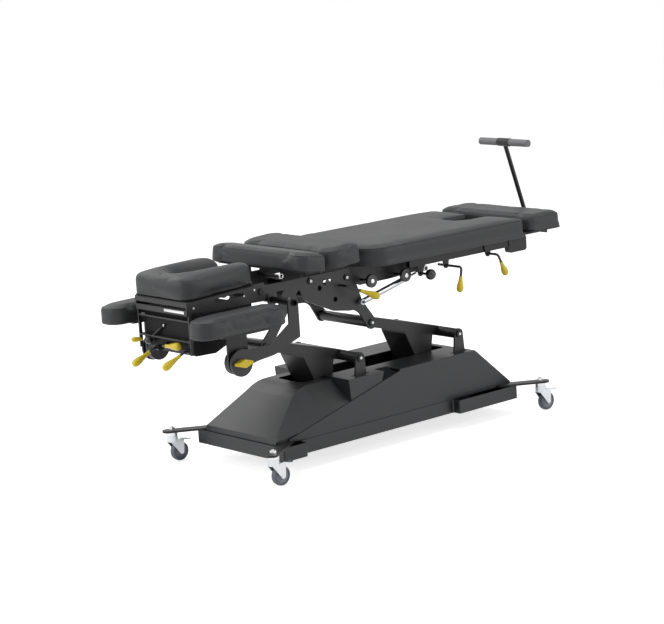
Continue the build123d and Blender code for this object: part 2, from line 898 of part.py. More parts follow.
with BuildPart() as thoracic_tray:
    with BuildSketch(leaning(thoracic_start, thoracic_bottom, tilt, -seat_gap - tray_sheet)):
        with Locations((thoracic_length / 2 + 4, 0)):
            RectangleRounded(thoracic_length - 28, 2 * tray_half, 20)
    extrude(amount=tray_sheet)
    for lug_face in (drop_lug_outer, -drop_lug_outer + drop_lug):
        with BuildSketch(across(lug_face)):
            with Locations(drop_axis):
                Circle(drop_lug_round)
            Polygon(
                (drop_axis[0] - drop_lug_round, drop_axis[1]),
                (drop_axis[0] - drop_lug_round * 0.3, tray_underside(drop_axis[0]) + tray_sheet / 2),
                (drop_axis[0] + 120, tray_underside(drop_axis[0] + 120) + tray_sheet / 2),
                (drop_axis[0] + drop_lug_round, drop_axis[1] - 4),
                align=None,
            )
            with Locations(drop_axis):
                Circle(hinge_pin_radius + shaft_gap, mode=Mode.SUBTRACT)
        extrude(amount=drop_lug)
finish(thoracic_tray.part, "thoracic_tray")

# Leg cushion with rounded head corners and a notch in the foot end
with BuildPart() as leg_cushion:
    with BuildSketch(Plane.XY.offset(leg_bottom)):
        with Locations(((leg_start + leg_end) / 2, 0)):
            Rectangle(leg_end - leg_start, 2 * cushion_half)
        with Locations(((notch_start + leg_end + notch_half) / 2, 0)):
            RectangleRounded(
                leg_end - notch_start + notch_half, 2 * notch_half, notch_half * 0.7, mode=Mode.SUBTRACT
            )
    extrude(amount=leg_top - leg_bottom)
    fillet(leg_cushion.edges().filter_by(Axis.Z).group_by(Axis.X)[0], radius=leg_head_corner)
    fillet(leg_cushion.edges().filter_by(Axis.Z).group_by(Axis.X)[-1], radius=leg_foot_corner)
    fillet(leg_cushion.faces().sort_by(Axis.Z)[-1].edges(), radius=edge_round)
finish(leg_cushion.part, "leg_cushion")

# Leg frame: deep hinge plates, long box rails and cross members
with BuildPart() as leg_frame:
    for plate_face in (leg_plate_outer, -leg_plate_outer + leg_plate):
        with BuildSketch(across(plate_face)):
            with Locations(flexion_axis, gas_head):
                Circle(lug_round - 6)
            Polygon(
                (flexion_axis[0] - 12, flexion_axis[1] + 10),
                (flexion_axis[0] + 10, rail_high),
                (leg_plate_end, rail_high),
                (leg_plate_end, rail_low),
                (gas_head[0] + 10, gas_head[1] - 12),
                (gas_head[0] - 40, gas_head[1] - 12),
                *leg_plate_belly,
                (flexion_axis[0] + 8, flexion_axis[1] - 14),
                align=None,
            )
            with Locations(flexion_axis):
                Circle(hinge_pin_radius + shaft_gap, mode=Mode.SUBTRACT)
        extrude(amount=leg_plate)
    for side in (-1, 1):
        with BuildSketch(Plane.YZ.offset(rail_from)):
            with Locations((side * rail_half, (rail_low + rail_high) / 2)):
                Rectangle(rail_width, rail_high - rail_low)
                Rectangle(rail_width - 2 * rail_wall, rail_high - rail_low - 2 * rail_wall, mode=Mode.SUBTRACT)
        extrude(amount=end_box[0] - rail_from)
        with BuildSketch(across(side * rail_half + end_box_width / 2)):
            with Locations(((end_box[0] + end_box[1]) / 2, (end_box_low + rail_high) / 2)):
                RectangleRounded(end_box[1] - end_box[0], rail_high - end_box_low, 12)
        extrude(amount=end_box_width)
    for member_x, member_half in (
        (rail_from + rail_width / 2, rail_half),
        (leg_plate_end - rail_width, rail_half),
        (member_mid, rail_half),
        (end_box[0] + rail_width, rail_half),
    ):
        with BuildSketch(Plane.YZ.offset(member_x)):
            with Locations((0, rail_high - member_sheet / 2)):
                Rectangle(2 * member_half - rail_width, member_sheet)
        extrude(amount=member_width)
    for lug_y in (-1, 1):
        with BuildSketch(across(-slide_half + lug_y * (slide_size / 2 + side_gap) + (lug_y + 1) * member_sheet / 2)):
            with Locations((slide_lug_at, (rail_low + rail_high) / 2)):
                Rectangle(member_width, rail_high - rail_low)
            with Locations((end_box[0] + slide_lug_at - member_mid + rail_width, (rail_low + rail_high) / 2)):
                Rectangle(member_width, rail_high - rail_low)
        extrude(amount=member_sheet)
        with BuildSketch(across(slide_half + lug_y * (slide_size / 2 + side_gap) + (lug_y + 1) * member_sheet / 2)):
            with Locations((slide_lug_at, (rail_low + rail_high) / 2)):
                Rectangle(member_width, rail_high - rail_low)
            with Locations((end_box[0] + slide_lug_at - member_mid + rail_width, (rail_low + rail_high) / 2)):
                Rectangle(member_width, rail_high - rail_low)
        extrude(amount=member_sheet)
    with BuildSketch(across(-leg_plate_outer + 1)):
        with Locations(gas_head):
            Circle(gas_pin_radius)
    extrude(amount=gas_y + gas_eye_half + 3 - leg_plate_outer + 1)
    for place, face in (((lever_x, lever_z), rail_half - rail_width), (plunger_place, rail_half - rail_width)):
        with BuildSketch(across(-face)):
            with Locations(place):
                Circle(2 * rod_radius + 2)
            with Locations((place[0], rail_high - 1.5 * lever_lug)):
                Rectangle(lug_flange, lever_lug)
            make_hull()
            with Locations(place):
                Circle(rod_radius + shaft_gap, mode=Mode.SUBTRACT)
        extrude(amount=lever_lug)
        with BuildSketch(across(-rail_half + rail_width / 2 + lever_lug)):
            with Locations((place[0], rail_high - 1.5 * lever_lug)):
                Rectangle(lug_flange, lever_lug)
        extrude(amount=lever_lug)
    with BuildSketch(across(-rail_half - rail_width / 2)):
        with Locations(rear_lever):
            Circle(2 * rod_radius + 2)
        with Locations((rear_lever[0], rail_high - 1.5 * lever_lug)):
            Rectangle(lug_flange, 2 * lever_lug)
        make_hull()
        with Locations(rear_lever):
            Circle(rod_radius + shaft_gap, mode=Mode.SUBTRACT)
    extrude(amount=lever_lug)
finish(leg_frame.part, "leg_frame")

# Gas spring between the near side plate and the leg frame
spring_run = gas_head[0] - gas_foot[0]
spring_climb = gas_head[1] - gas_foot[1]
spring_length = hypot(spring_run, spring_climb)
spring_x = spring_run / spring_length
spring_z = spring_climb / spring_length


def along_spring(distance):
    """Plane square to the gas spring, at a distance from its lower eye."""
    origin = (gas_foot[0] + distance * spring_x, -gas_y, gas_foot[1] + distance * spring_z)
    return Plane(origin, x_dir=(0, 1, 0), z_dir=(spring_x, 0, spring_z))


with BuildPart() as gas_cylinder:
    with BuildSketch(along_spring(gas_eye_half)):
        Circle(gas_cylinder_radius)
    extrude(amount=gas_cylinder_length)
    with BuildSketch(across(-gas_y + gas_eye_half)):
        with Locations(gas_foot):
            Circle(gas_cylinder_radius)
    extrude(amount=2 * gas_eye_half)
    with BuildSketch(across(-gas_y + gas_cylinder_radius)):
        with Locations(gas_foot):
            Circle(gas_pin_radius + shaft_gap)
    extrude(amount=2 * gas_cylinder_radius, mode=Mode.SUBTRACT)
    with BuildSketch(along_spring(2 * gas_cylinder_radius)):
        Circle(gas_rod_radius + shaft_gap)
    extrude(amount=gas_cylinder_length, mode=Mode.SUBTRACT)
finish(gas_cylinder.part, "gas_spring_cylinder")

with BuildPart() as gas_rod:
    with BuildSketch(along_spring(gas_rod_start)):
        Circle(gas_rod_radius)
    extrude(amount=spring_length - gas_rod_start - gas_pin_radius - gas_play)
    with BuildSketch(across(-gas_y + gas_eye_half)):
        with Locations(gas_head):
            Circle(gas_cylinder_radius + 1)
            Circle(gas_pin_radius + gas_play, mode=Mode.SUBTRACT)
    extrude(amount=2 * gas_eye_half)
finish(gas_rod.part, "gas_spring_rod")

# Foot section: cushion, sliding frame, stem and grips of the T-handle
with BuildPart() as foot_cushion:
    with BuildSketch(Plane.XY.offset(foot_bottom)):
        with Locations(((foot_start + foot_end) / 2, 0)):
            RectangleRounded(foot_end - foot_start, 2 * cushion_half, foot_corner)
    extrude(amount=foot_top - foot_bottom)
    fillet(foot_cushion.faces().sort_by(Axis.Z)[-1].edges(), radius=edge_round)
finish(foot_cushion.part, "foot_cushion")

stem_run = stem_top[0] - stem_foot[0]
stem_climb = stem_top[1] - stem_foot[1]
stem_length = hypot(stem_run, stem_climb)
stem_plane = Plane(
    (stem_foot[0], 0, stem_foot[1]),
    x_dir=(0, 1, 0),
    z_dir=(stem_run / stem_length, 0, stem_climb / stem_length),
)
socket_length = 60
socket_wall = 5
stem_seat = 4
end_plate_sheet = 6
foot_board_in = 8
foot_board_side = 15
foot_board_corner = 20
with BuildPart() as foot_frame:
    for side in (-1, 1):
        with BuildSketch(Plane.YZ.offset(slide_from)):
            with Locations((side * slide_half, slide_height)):
                Rectangle(slide_size, slide_size)
                Rectangle(slide_size - 2 * slide_wall, slide_size - 2 * slide_wall, mode=Mode.SUBTRACT)
        extrude(amount=slide_to - slide_from)
    with BuildSketch(Plane.YZ.offset(slide_to)):
        with Locations((0, slide_height)):
            Rectangle(2 * slide_half + slide_size, slide_size + 16)
    extrude(amount=end_plate_sheet)
    with BuildSketch(Plane.XY.offset(foot_bottom - seat_gap - board_sheet)):
        with Locations(((foot_start + foot_end) / 2, 0)):
            RectangleRounded(foot_end - foot_start - 2 * foot_board_in, 2 * (cushion_half - foot_board_side), foot_board_corner)
    extrude(amount=board_sheet)
    riser = foot_bottom - seat_gap - board_sheet - slide_height - slide_size / 2
    for side in (-1, 1):
        with BuildSketch(Plane.XY.offset(slide_height + slide_size / 2)):
            with Locations((foot_end - 45, side * slide_half), (foot_start + 35, side * slide_half)):
                Rectangle(40, slide_size)
        extrude(amount=riser)
    with BuildSketch(stem_plane):
        Circle(handle_stem_radius + socket_wall)
    extrude(amount=socket_length)
    with BuildSketch(stem_plane.offset(stem_seat)):
        Circle(handle_stem_radius + shaft_gap)
    extrude(amount=socket_length, mode=Mode.SUBTRACT)
finish(foot_frame.part, "foot_frame")

with BuildPart() as handle_stem:
    with BuildSketch(stem_plane.offset(stem_seat + side_gap)):
        Circle(handle_stem_radius)
    extrude(amount=stem_length - stem_seat - side_gap)
    with BuildSketch(across(grip_half - 4)):
        with Locations(stem_top):
            Circle(handle_stem_radius)
    extrude(amount=2 * (grip_half - 4))
    with BuildSketch(across(grip_inner - side_gap)):
        with Locations(stem_top):
            Circle(collar_radius)
    extrude(amount=2 * (grip_inner - side_gap))
finish(handle_stem.part, "handle_stem")

with BuildPart() as handle_grips:
    for side in (-1, 1):
        with BuildSketch(across(grip_half if side > 0 else -grip_inner)):
            with Locations(stem_top):
                Circle(grip_radius)
        extrude(amount=grip_half - grip_inner)
        with BuildSketch(across(grip_half - 4 + side_gap if side > 0 else -grip_inner + side_gap)):
            with Locations(stem_top):
                Circle(handle_stem_radius + shaft_gap)
        extrude(amount=grip_half - grip_inner - 4 + 2 * side_gap, mode=Mode.SUBTRACT)
finish(handle_grips.part, "handle_grips")

# Head section: tapered cheek plates under the leaning tray, with cross bars and front drop bars
head_inner = plate_outer + side_gap
head_lean = radians(face_lean)


def cheek_top(x):
    """Height of the cheek plate's upper edge, which carries the face tray."""
    return face_bottom - (seat_gap + tray_sheet) / cos(head_lean) + (x - face_start) * tan(head_lean)


with BuildPart() as head_frame:
    for plate_face in (head_inner + head_plate, -head_inner):
        with BuildSketch(across(plate_face)):
            Polygon(
                (head_plate_start, cheek_top(head_plate_start)),
                (head_plate_start, head_plate_low[0]),
                (head_plate_end, head_plate_low[1]),
                (head_plate_end, cheek_top(head_plate_end)),
                align=None,
            )
            with Locations((head_plate_slot[0], head_plate_slot[1])):
                SlotOverall(head_plate_slot[2], head_plate_slot[3], rotation=face_lean, mode=Mode.SUBTRACT)
            with Locations(head_axis):
                Circle(hinge_pin_radius + shaft_gap, mode=Mode.SUBTRACT)
        extrude(amount=head_plate)
    for bar_x in (head_plate_start, rail_start - 2 * lug_round):
        bar_top = cheek_top(bar_x)
        with BuildSketch(Plane.XY.offset(bar_top - head_bar)):
            with Locations((bar_x + head_bar_sheet / 2, 0)):
                Rectangle(head_bar_sheet, 2 * head_inner + head_plate)
        extrude(amount=head_bar)
    with BuildSketch(Plane.XY.offset(head_lip_low)):
        with Locations((head_plate_start + head_bar_sheet / 2, 0)):
            Rectangle(head_bar_sheet, 2 * head_inner + head_plate)
    extrude(amount=head_bar)
    for side in (-1, 1):
        bar_y = side * (head_inner + head_plate / 2)
        with BuildSketch(Plane.XY.offset(drop_bar_low)):
            with Locations((drop_bar_x + drop_bar_width / 2, bar_y)):
                Rectangle(drop_bar_width, head_plate)
        extrude(amount=head_plate_low[0] - drop_bar_low + head_plate)
    for bar_low in (cross_bar_low, housing_high - head_bar):
        with BuildSketch(Plane.XY.offset(bar_low)):
            with Locations(((drop_bar_x + housing[0]) / 2, 0)):
                Rectangle(housing[0] - drop_bar_x, 2 * head_inner + head_plate)
        extrude(amount=head_bar_sheet)
finish(head_frame.part, "head_frame")

# Housing of the head release gear, with a pair of lugs for each lever
head_lever_x = housing[0] - head_lever_eye - side_gap
with BuildPart() as head_housing:
    with BuildSketch(Plane.XZ):
        Polygon(
            (housing[1], housing_high),
            (housing[0], housing_high),
            (housing[0], housing_keel[0][1] + head_bar),
            *housing_keel,
            align=None,
        )
    extrude(amount=housing_half, both=True)
    for eye_y, eye_z, turn in head_lever_places.values():
        for lug_face in (eye_y - head_lever_half - side_gap, eye_y + head_lever_half + side_gap + head_lever_lug):
            with BuildSketch(across(lug_face)):
                with Locations((head_lever_x, eye_z)):
                    Circle(head_lever_eye)
                with Locations((housing[0] + head_lever_eye, eye_z)):
                    Rectangle(2 * head_lever_eye, 2 * head_lever_eye)
                make_hull()
                with Locations((head_lever_x, eye_z)):
                    Circle(head_lever_pin + shaft_gap, mode=Mode.SUBTRACT)
            extrude(amount=head_lever_lug)
finish(head_housing.part, "head_housing")

# Face tray and cushion, leaning up toward the chest, with a slot open to that side
slot_middle = (face_slot_from + face_length) / 2 + face_slot_half
slot_length = face_length - face_slot_from + 2 * face_slot_half
with BuildPart() as face_tray:
    with BuildSketch(leaning(face_start, face_bottom, head_lean, -seat_gap - tray_sheet)):
        with Locations((face_length / 2, 0)):
            RectangleRounded(face_length - 4 * tray_sheet, 2 * (face_half - tray_sheet), face_corner * 0.8)
        with Locations((slot_middle, 0)):
            RectangleRounded(
                slot_length, 2 * (face_slot_half + 2 * tray_sheet), face_slot_half, mode=Mode.SUBTRACT
            )
    extrude(amount=tray_sheet)
finish(face_tray.part, "face_tray")

with BuildPart() as face_cushion:
    with BuildSketch(leaning(face_start, face_bottom, head_lean, 0)):
        with Locations((face_length / 2, 0)):
            RectangleRounded(face_length, 2 * face_half, face_corner)
        with Locations((slot_middle, 0)):
            RectangleRounded(slot_length, 2 * face_slot_half, face_slot_half * 0.95, mode=Mode.SUBTRACT)
    extrude(amount=face_thickness)
    fillet(face_cushion.faces().sort_by(Axis.Z)[-1].edges(), radius=face_round)
finish(face_cushion.part, "face_cushion")

# Armrests
hanger_faces = (hanger_inner, hanger_inner + hanger_sheet)
swing_outer = hanger_inner - swing_gap
for hand, side in (("near", -1), ("far", 1)):
    with BuildPart() as hanger:
        with BuildSketch(across(-hanger_faces[0] if side < 0 else hanger_faces[1])):
            with BuildLine():
                Polyline(
                    (hanger_leg[1], arm_tube[1]),
                    (hanger_leg[1], 520),
                    (-548, 507),
                    (-587, 494),
                )
                Spline((-587, 494), (-654, 473), (-719, 466), (lobe[0], lobe[1] - lobe_radius + 8))
                Line((lobe[0], lobe[1] - lobe_radius + 8), (lobe[0], lobe[1] + lobe_radius - 4))
                Spline(
                    (lobe[0], lobe[1] + lobe_radius - 4),
                    (-715, 516),
                    (-655, 518),
                    (-605, 544),
                    (hanger_leg[0], 575),
                )
                Polyline(
                    (hanger_leg[0], 575),
                    (hanger_leg[0], arm_tube[1]),
                    (hanger_leg[1], arm_tube[1]),
                )
            make_face()
            with Locations(lobe):
                Circle(lobe_radius)
            with Locations(((hanger_leg[0] + hanger_leg[1]) / 2, arm_tube[1])):
                Circle((hanger_leg[1] - hanger_leg[0]) / 2)
            with Locations(arm_tube):
                Circle(arm_tube_radius + shaft_gap, mode=Mode.SUBTRACT)
            with Locations(lobe):
                Circle(knob_stem_radius + shaft_gap, mode=Mode.SUBTRACT)
        extrude(amount=hanger_sheet)
    finish(hanger.part, f"armrest_hanger_{hand}")

    swing_faces = (swing_outer - swing_sheet, swing_outer)
    with BuildPart() as swing:
        with BuildSketch(across(-swing_faces[0] if side < 0 else swing_faces[1])):
            with Locations(lobe):
                Circle(swing_radius)
            with Locations((lobe[0], armrest_bottom - seat_gap - rest_board_sheet)):
                Rectangle(swing_neck, rest_board_sheet)
            make_hull()
            with Locations(lobe):
                Circle(swing_bore, mode=Mode.SUBTRACT)
        extrude(amount=swing_sheet)
        with BuildSketch(across(-swing_faces[0] + swing_drum if side < 0 else swing_faces[0])):
            with Locations(lobe):
                Circle(swing_radius)
                Circle(swing_bore, mode=Mode.SUBTRACT)
        extrude(amount=swing_drum)
        with BuildSketch(across(-swing_outer if side < 0 else hanger_inner - side_gap)):
            with Locations(lobe):
                Circle(swing_radius * 0.5)
                Circle(swing_bore, mode=Mode.SUBTRACT)
        extrude(amount=hanger_inner - side_gap - swing_outer)
        with BuildSketch(Plane.XY.offset(armrest_bottom - seat_gap - rest_board_sheet)):
            with Locations(((rest_board[0] + rest_board[1]) / 2, side * (armrest_inner + armrest_outer) / 2)):
                RectangleRounded(rest_board[1] - rest_board[0], armrest_outer - armrest_inner - 30, 12)
        extrude(amount=rest_board_sheet)
    finish(swing.part, f"armrest_swing_{hand}")

    with BuildPart() as armrest:
        with BuildSketch(Plane.XY.offset(armrest_bottom)):
            with Locations(((armrest_start + armrest_end) / 2, side * (armrest_inner + armrest_outer) / 2)):
                RectangleRounded(armrest_end - armrest_start, armrest_outer - armrest_inner, armrest_corner)
        extrude(amount=armrest_top - armrest_bottom)
        fillet(armrest.faces().sort_by(Axis.Z)[-1].edges(), radius=edge_round)
    finish(armrest.part, f"armrest_pad_{hand}")

    knob_face = hanger_faces[1] + side_gap
    with BuildPart() as wing_knob:
        with BuildSketch(across(side * knob_face if side < 0 else knob_face + knob_hub_length)):
            with Locations(lobe):
                Circle(knob_hub_radius)
                Rectangle(2 * wing_reach, wing_sheet)
        extrude(amount=knob_hub_length)
        with BuildSketch(across(-swing_faces[0] + 10 if side < 0 else knob_face)):
            with Locations(lobe):
                Circle(knob_stem_radius)
        extrude(amount=knob_face - swing_faces[0] + 10)
    finish(wing_knob.part, f"armrest_knob_{hand}")


def grip(plane, length):
    """Teardrop grip revolved about the first axis of the plane."""
    with BuildPart() as handle:
        with BuildSketch(plane):
            with BuildLine():
                Line((0, 0), (0, grip_small))
                Spline((0, grip_small), (length * 0.6, grip_large), (length, 0), tangents=((1, 0), (0, -1)))
                Line((length, 0), (0, 0))
            make_face()
        revolve(axis=Axis(plane.origin, plane.x_dir))
    return handle.part


def bent_lever(points, bend, grip_length):
    """Round rod through the points with a teardrop grip on its last stretch."""
    start = Vector(*points[0])
    heading = (Vector(*points[1]) - start).normalized()
    last = (Vector(*points[-1]) - Vector(*points[-2])).normalized()
    side_dir = Vector(0, 1, 0) if abs(last.Y) < 0.9 else Vector(1, 0, 0)
    grip_plane = Plane(Vector(*points[-1]), x_dir=last, z_dir=last.cross(side_dir))
    with BuildPart() as lever:
        with BuildLine():
            if len(points) > 2:
                FilletPolyline(*points, radius=bend)
            else:
                Line(*points)
        with BuildSketch(Plane(start, z_dir=heading)):
            Circle(rod_radius)
        sweep()
        add(grip(grip_plane, grip_length))
    return lever.part


# Release levers
finish(
    bent_lever(
        ((lever_x, -150, lever_z), (lever_x, -280, lever_z), (lever_x - 6, -280, 614)), lever_bend, 62
    ),
    "leg_lever",
)
finish(
    bent_lever(
        (
            (rear_lever[0], -rail_half - rail_width / 2 - side_gap, rear_lever[1]),
            (rear_lever[0], -280, rear_lever[1]),
            (rear_lever[0] + 15, -280, 636),
        ),
        lever_bend,
        62,
    ),
    "foot_lever",
)
finish(
    bent_lever(
        (
            (chest_lever_place[0], -plate_outer + lever_bore_depth, chest_lever_place[1]),
            (chest_lever_place[0], -190, chest_lever_place[1]),
            (-155, -215, 628),
        ),
        lever_bend,
        80,
    ),
    "chest_lever",
)
# Head levers: a round eye between the lugs of the housing, a short rod and a grip
for hand, (eye_y, eye_z, turn) in head_lever_places.items():
    rod_end = (head_lever_x - head_lever_reach, eye_y, eye_z)
    tip = tuple(place + step for place, step in zip(rod_end, turn))
    with BuildPart() as head_lever:
        with BuildSketch(across(eye_y + head_lever_half)):
            with Locations((head_lever_x, eye_z)):
                Circle(head_lever_eye)
        extrude(amount=2 * head_lever_half)
        with BuildSketch(across(eye_y + head_lever_half + side_gap + head_lever_lug)):
            with Locations((head_lever_x, eye_z)):
                Circle(head_lever_pin)
        extrude(amount=2 * (head_lever_half + side_gap + head_lever_lug))
        add(
            bent_lever(
                ((head_lever_x - head_lever_eye / 2, eye_y, eye_z), rod_end, tip), lever_bend, head_grip
            )
        )
    finish(head_lever.part, f"head_lever_{hand}")

# Pull plunger with a ball, and the two disc knobs
with BuildPart() as release_plunger:
    with BuildSketch(across(-rail_half + rail_width + 4)):
        with Locations(plunger_place):
            Circle(rod_radius)
    extrude(amount=250 - rail_half + rail_width + 4)
    with Locations((plunger_place[0], -250, plunger_place[1])):
        Sphere(ball_radius)
finish(release_plunger.part, "release_plunger")

for hand, place in (("rear", knob_places[0]), ("front", knob_places[1])):
    with BuildPart() as disc_knob:
        with BuildSketch(across(-leg_plate_outer - side_gap)):
            with Locations(place):
                Circle(rod_radius)
        extrude(amount=205 - leg_plate_outer - side_gap)
        with BuildSketch(across(-190)):
            with Locations(place):
                Circle(disc_radius)
        extrude(amount=disc_thickness)
        fillet(disc_knob.edges().filter_by(GeomType.CIRCLE).group_by(SortBy.RADIUS)[-1], radius=3)
    finish(disc_knob.part, f"tension_knob_{hand}")
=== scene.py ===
import json
import logging
import math
from dataclasses import dataclass, field, replace
from enum import Enum

import bmesh
import bpy
import numpy as np
from mathutils import Matrix, Vector


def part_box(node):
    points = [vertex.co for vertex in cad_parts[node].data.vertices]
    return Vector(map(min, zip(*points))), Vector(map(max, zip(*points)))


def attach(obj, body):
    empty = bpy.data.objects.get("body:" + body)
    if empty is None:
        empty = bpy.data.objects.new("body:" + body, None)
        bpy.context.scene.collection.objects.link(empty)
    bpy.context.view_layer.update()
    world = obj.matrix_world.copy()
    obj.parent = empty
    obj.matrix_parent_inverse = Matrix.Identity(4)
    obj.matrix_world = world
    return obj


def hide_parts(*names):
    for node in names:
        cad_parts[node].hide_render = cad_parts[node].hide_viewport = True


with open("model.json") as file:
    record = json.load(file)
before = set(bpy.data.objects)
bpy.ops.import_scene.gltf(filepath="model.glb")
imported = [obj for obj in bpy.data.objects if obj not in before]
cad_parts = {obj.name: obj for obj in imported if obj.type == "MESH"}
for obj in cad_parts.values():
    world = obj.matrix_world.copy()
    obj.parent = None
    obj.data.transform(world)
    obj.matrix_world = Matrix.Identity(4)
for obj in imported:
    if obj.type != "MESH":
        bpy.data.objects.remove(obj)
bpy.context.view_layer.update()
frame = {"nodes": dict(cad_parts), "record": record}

log = logging.getLogger("chiropractic_table")

MM = 0.001
WELD = 1e-6
LEAST_ROUGHNESS = 0.02
HEAD_SEAT = -0.4
HEAD_CROWN = ((0.3, 1.0), (0.75, 0.86), (1.0, 0.6))
HEAD_SOCKET = ((1.0, 0.42), (0.3, 0.38), (0.3, 0.0))
HEAD_DOME = ((1.05, 0.0),)


class Grain(Enum):
    """Surface texture families."""

    VINYL = "vinyl"
    POWDER = "powder"
    PLATED = "plated"
    MOULDED = "moulded"
    RUBBER = "rubber"


@dataclass(frozen=True)
class Finish:
    """One surface finish, with the look of its grain.

    Args:
        name: Name of the material.
        colour: Base colour, linear.
        roughness: Mean roughness.
        metallic: Metallic share.
        grain: Texture family.
        grain_size: Size of one grain in metres.
        relief: Depth of the grain in metres.
        mottle: Strength of the slow colour change.
        coat: Clear coat weight.
        gloss: Specular level.
        wave: Height of the slow waves of the surface in metres.
        slow_scale: Scale of the slow colour change.
        slow_detail: Detail of the slow colour change.
        spread: Most that the roughness departs from its mean.
        coat_roughness: Roughness of the clear coat.
        grain_strength: Strength of the grain's bump.
        wave_scale: Scale of the slow waves.
        wave_detail: Detail of the slow waves.
        wave_twist: Distortion of the slow waves.
        wave_strength: Strength of the waves' bump.
        brush_stretch: Squeeze of the grain along the height on plated metal.
        cell_softness: Softness of the cells of vinyl and rubber.
        grain_detail: Detail of the other grains.
    """

    name: str
    colour: tuple[float, float, float]
    roughness: float
    metallic: float = 0.0
    grain: Grain = Grain.POWDER
    grain_size: float = 0.0012
    relief: float = 0.00005
    mottle: float = 0.12
    coat: float = 0.0
    gloss: float = 0.5
    wave: float = 0.0
    slow_scale: float = 9.0
    slow_detail: float = 5.0
    spread: float = 0.07
    coat_roughness: float = 0.15
    grain_strength: float = 0.6
    wave_scale: float = 16.0
    wave_detail: float = 2.0
    wave_twist: float = 0.6
    wave_strength: float = 0.5
    brush_stretch: float = 0.08
    cell_softness: float = 0.5
    grain_detail: float = 3.0

    def _texture(self, nodes: bpy.types.Nodes, links: bpy.types.NodeLinks) -> bpy.types.NodeSocket:
        """Build the height pattern of the grain.

        Args:
            nodes: Nodes of the material.
            links: Links of the material.

        Returns:
            The socket that holds the height.
        """
        place = nodes.new("ShaderNodeTexCoord").outputs["Object"]
        if self.grain in (Grain.VINYL, Grain.RUBBER):
            cells = nodes.new("ShaderNodeTexVoronoi")
            cells.feature = "SMOOTH_F1"
            cells.inputs["Scale"].default_value = 1.0 / self.grain_size
            cells.inputs["Smoothness"].default_value = self.cell_softness
            links.new(place, cells.inputs["Vector"])
            return cells.outputs["Distance"]
        noise = nodes.new("ShaderNodeTexNoise")
        noise.inputs["Scale"].default_value = 1.0 / self.grain_size
        noise.inputs["Detail"].default_value = self.grain_detail
        if self.grain is Grain.PLATED:
            stretch = nodes.new("ShaderNodeMapping")
            stretch.inputs["Scale"].default_value = (1.0, 1.0, self.brush_stretch)
            links.new(place, stretch.inputs["Vector"])
            links.new(stretch.outputs["Vector"], noise.inputs["Vector"])
        else:
            links.new(place, noise.inputs["Vector"])
        return noise.outputs["Fac"]

    def material(self) -> bpy.types.Material:
        """Build the node material.

        Returns:
            The material.
        """
        made = bpy.data.materials.get(self.name)
        if made is not None:
            return made
        made = bpy.data.materials.new(self.name)
        made.use_nodes = True
        nodes, links = made.node_tree.nodes, made.node_tree.links
        shader = nodes["Principled BSDF"]
        shader.inputs["Metallic"].default_value = self.metallic
        shader.inputs["Coat Weight"].default_value = self.coat
        shader.inputs["Coat Roughness"].default_value = self.coat_roughness
        shader.inputs["Specular IOR Level"].default_value = self.gloss
        place = nodes.new("ShaderNodeTexCoord").outputs["Object"]
        slow = nodes.new("ShaderNodeTexNoise")
        slow.inputs["Scale"].default_value = self.slow_scale
        slow.inputs["Detail"].default_value = self.slow_detail
        links.new(place, slow.inputs["Vector"])
        tint = nodes.new("ShaderNodeMix")
        tint.data_type = "RGBA"
        low = tuple(c * (1.0 - self.mottle) for c in self.colour)
        high = tuple(min(1.0, c * (1.0 + self.mottle)) for c in self.colour)
        tint.inputs["A"].default_value = (*low, 1.0)
        tint.inputs["B"].default_value = (*high, 1.0)
        links.new(slow.outputs["Fac"], tint.inputs["Factor"])
        links.new(tint.outputs["Result"], shader.inputs["Base Color"])
        spread = nodes.new("ShaderNodeMapRange")
        spread.inputs["To Min"].default_value = max(LEAST_ROUGHNESS, self.roughness - self.spread)
        spread.inputs["To Max"].default_value = min(1.0, self.roughness + self.spread)
        links.new(slow.outputs["Fac"], spread.inputs["Value"])
        links.new(spread.outputs["Result"], shader.inputs["Roughness"])
        bump = nodes.new("ShaderNodeBump")
        bump.inputs["Distance"].default_value = self.relief
        bump.inputs["Strength"].default_value = self.grain_strength
        links.new(self._texture(nodes, links), bump.inputs["Height"])
        if self.wave:
            swell = nodes.new("ShaderNodeTexNoise")
            swell.inputs["Scale"].default_value = self.wave_scale
            swell.inputs["Detail"].default_value = self.wave_detail
            swell.inputs["Distortion"].default_value = self.wave_twist
            links.new(place, swell.inputs["Vector"])
            under = nodes.new("ShaderNodeBump")
            under.inputs["Distance"].default_value = self.wave
            under.inputs["Strength"].default_value = self.wave_strength
            links.new(swell.outputs["Fac"], under.inputs["Height"])
            links.new(under.outputs["Normal"], bump.inputs["Normal"])
        links.new(bump.outputs["Normal"], shader.inputs["Normal"])
        return made


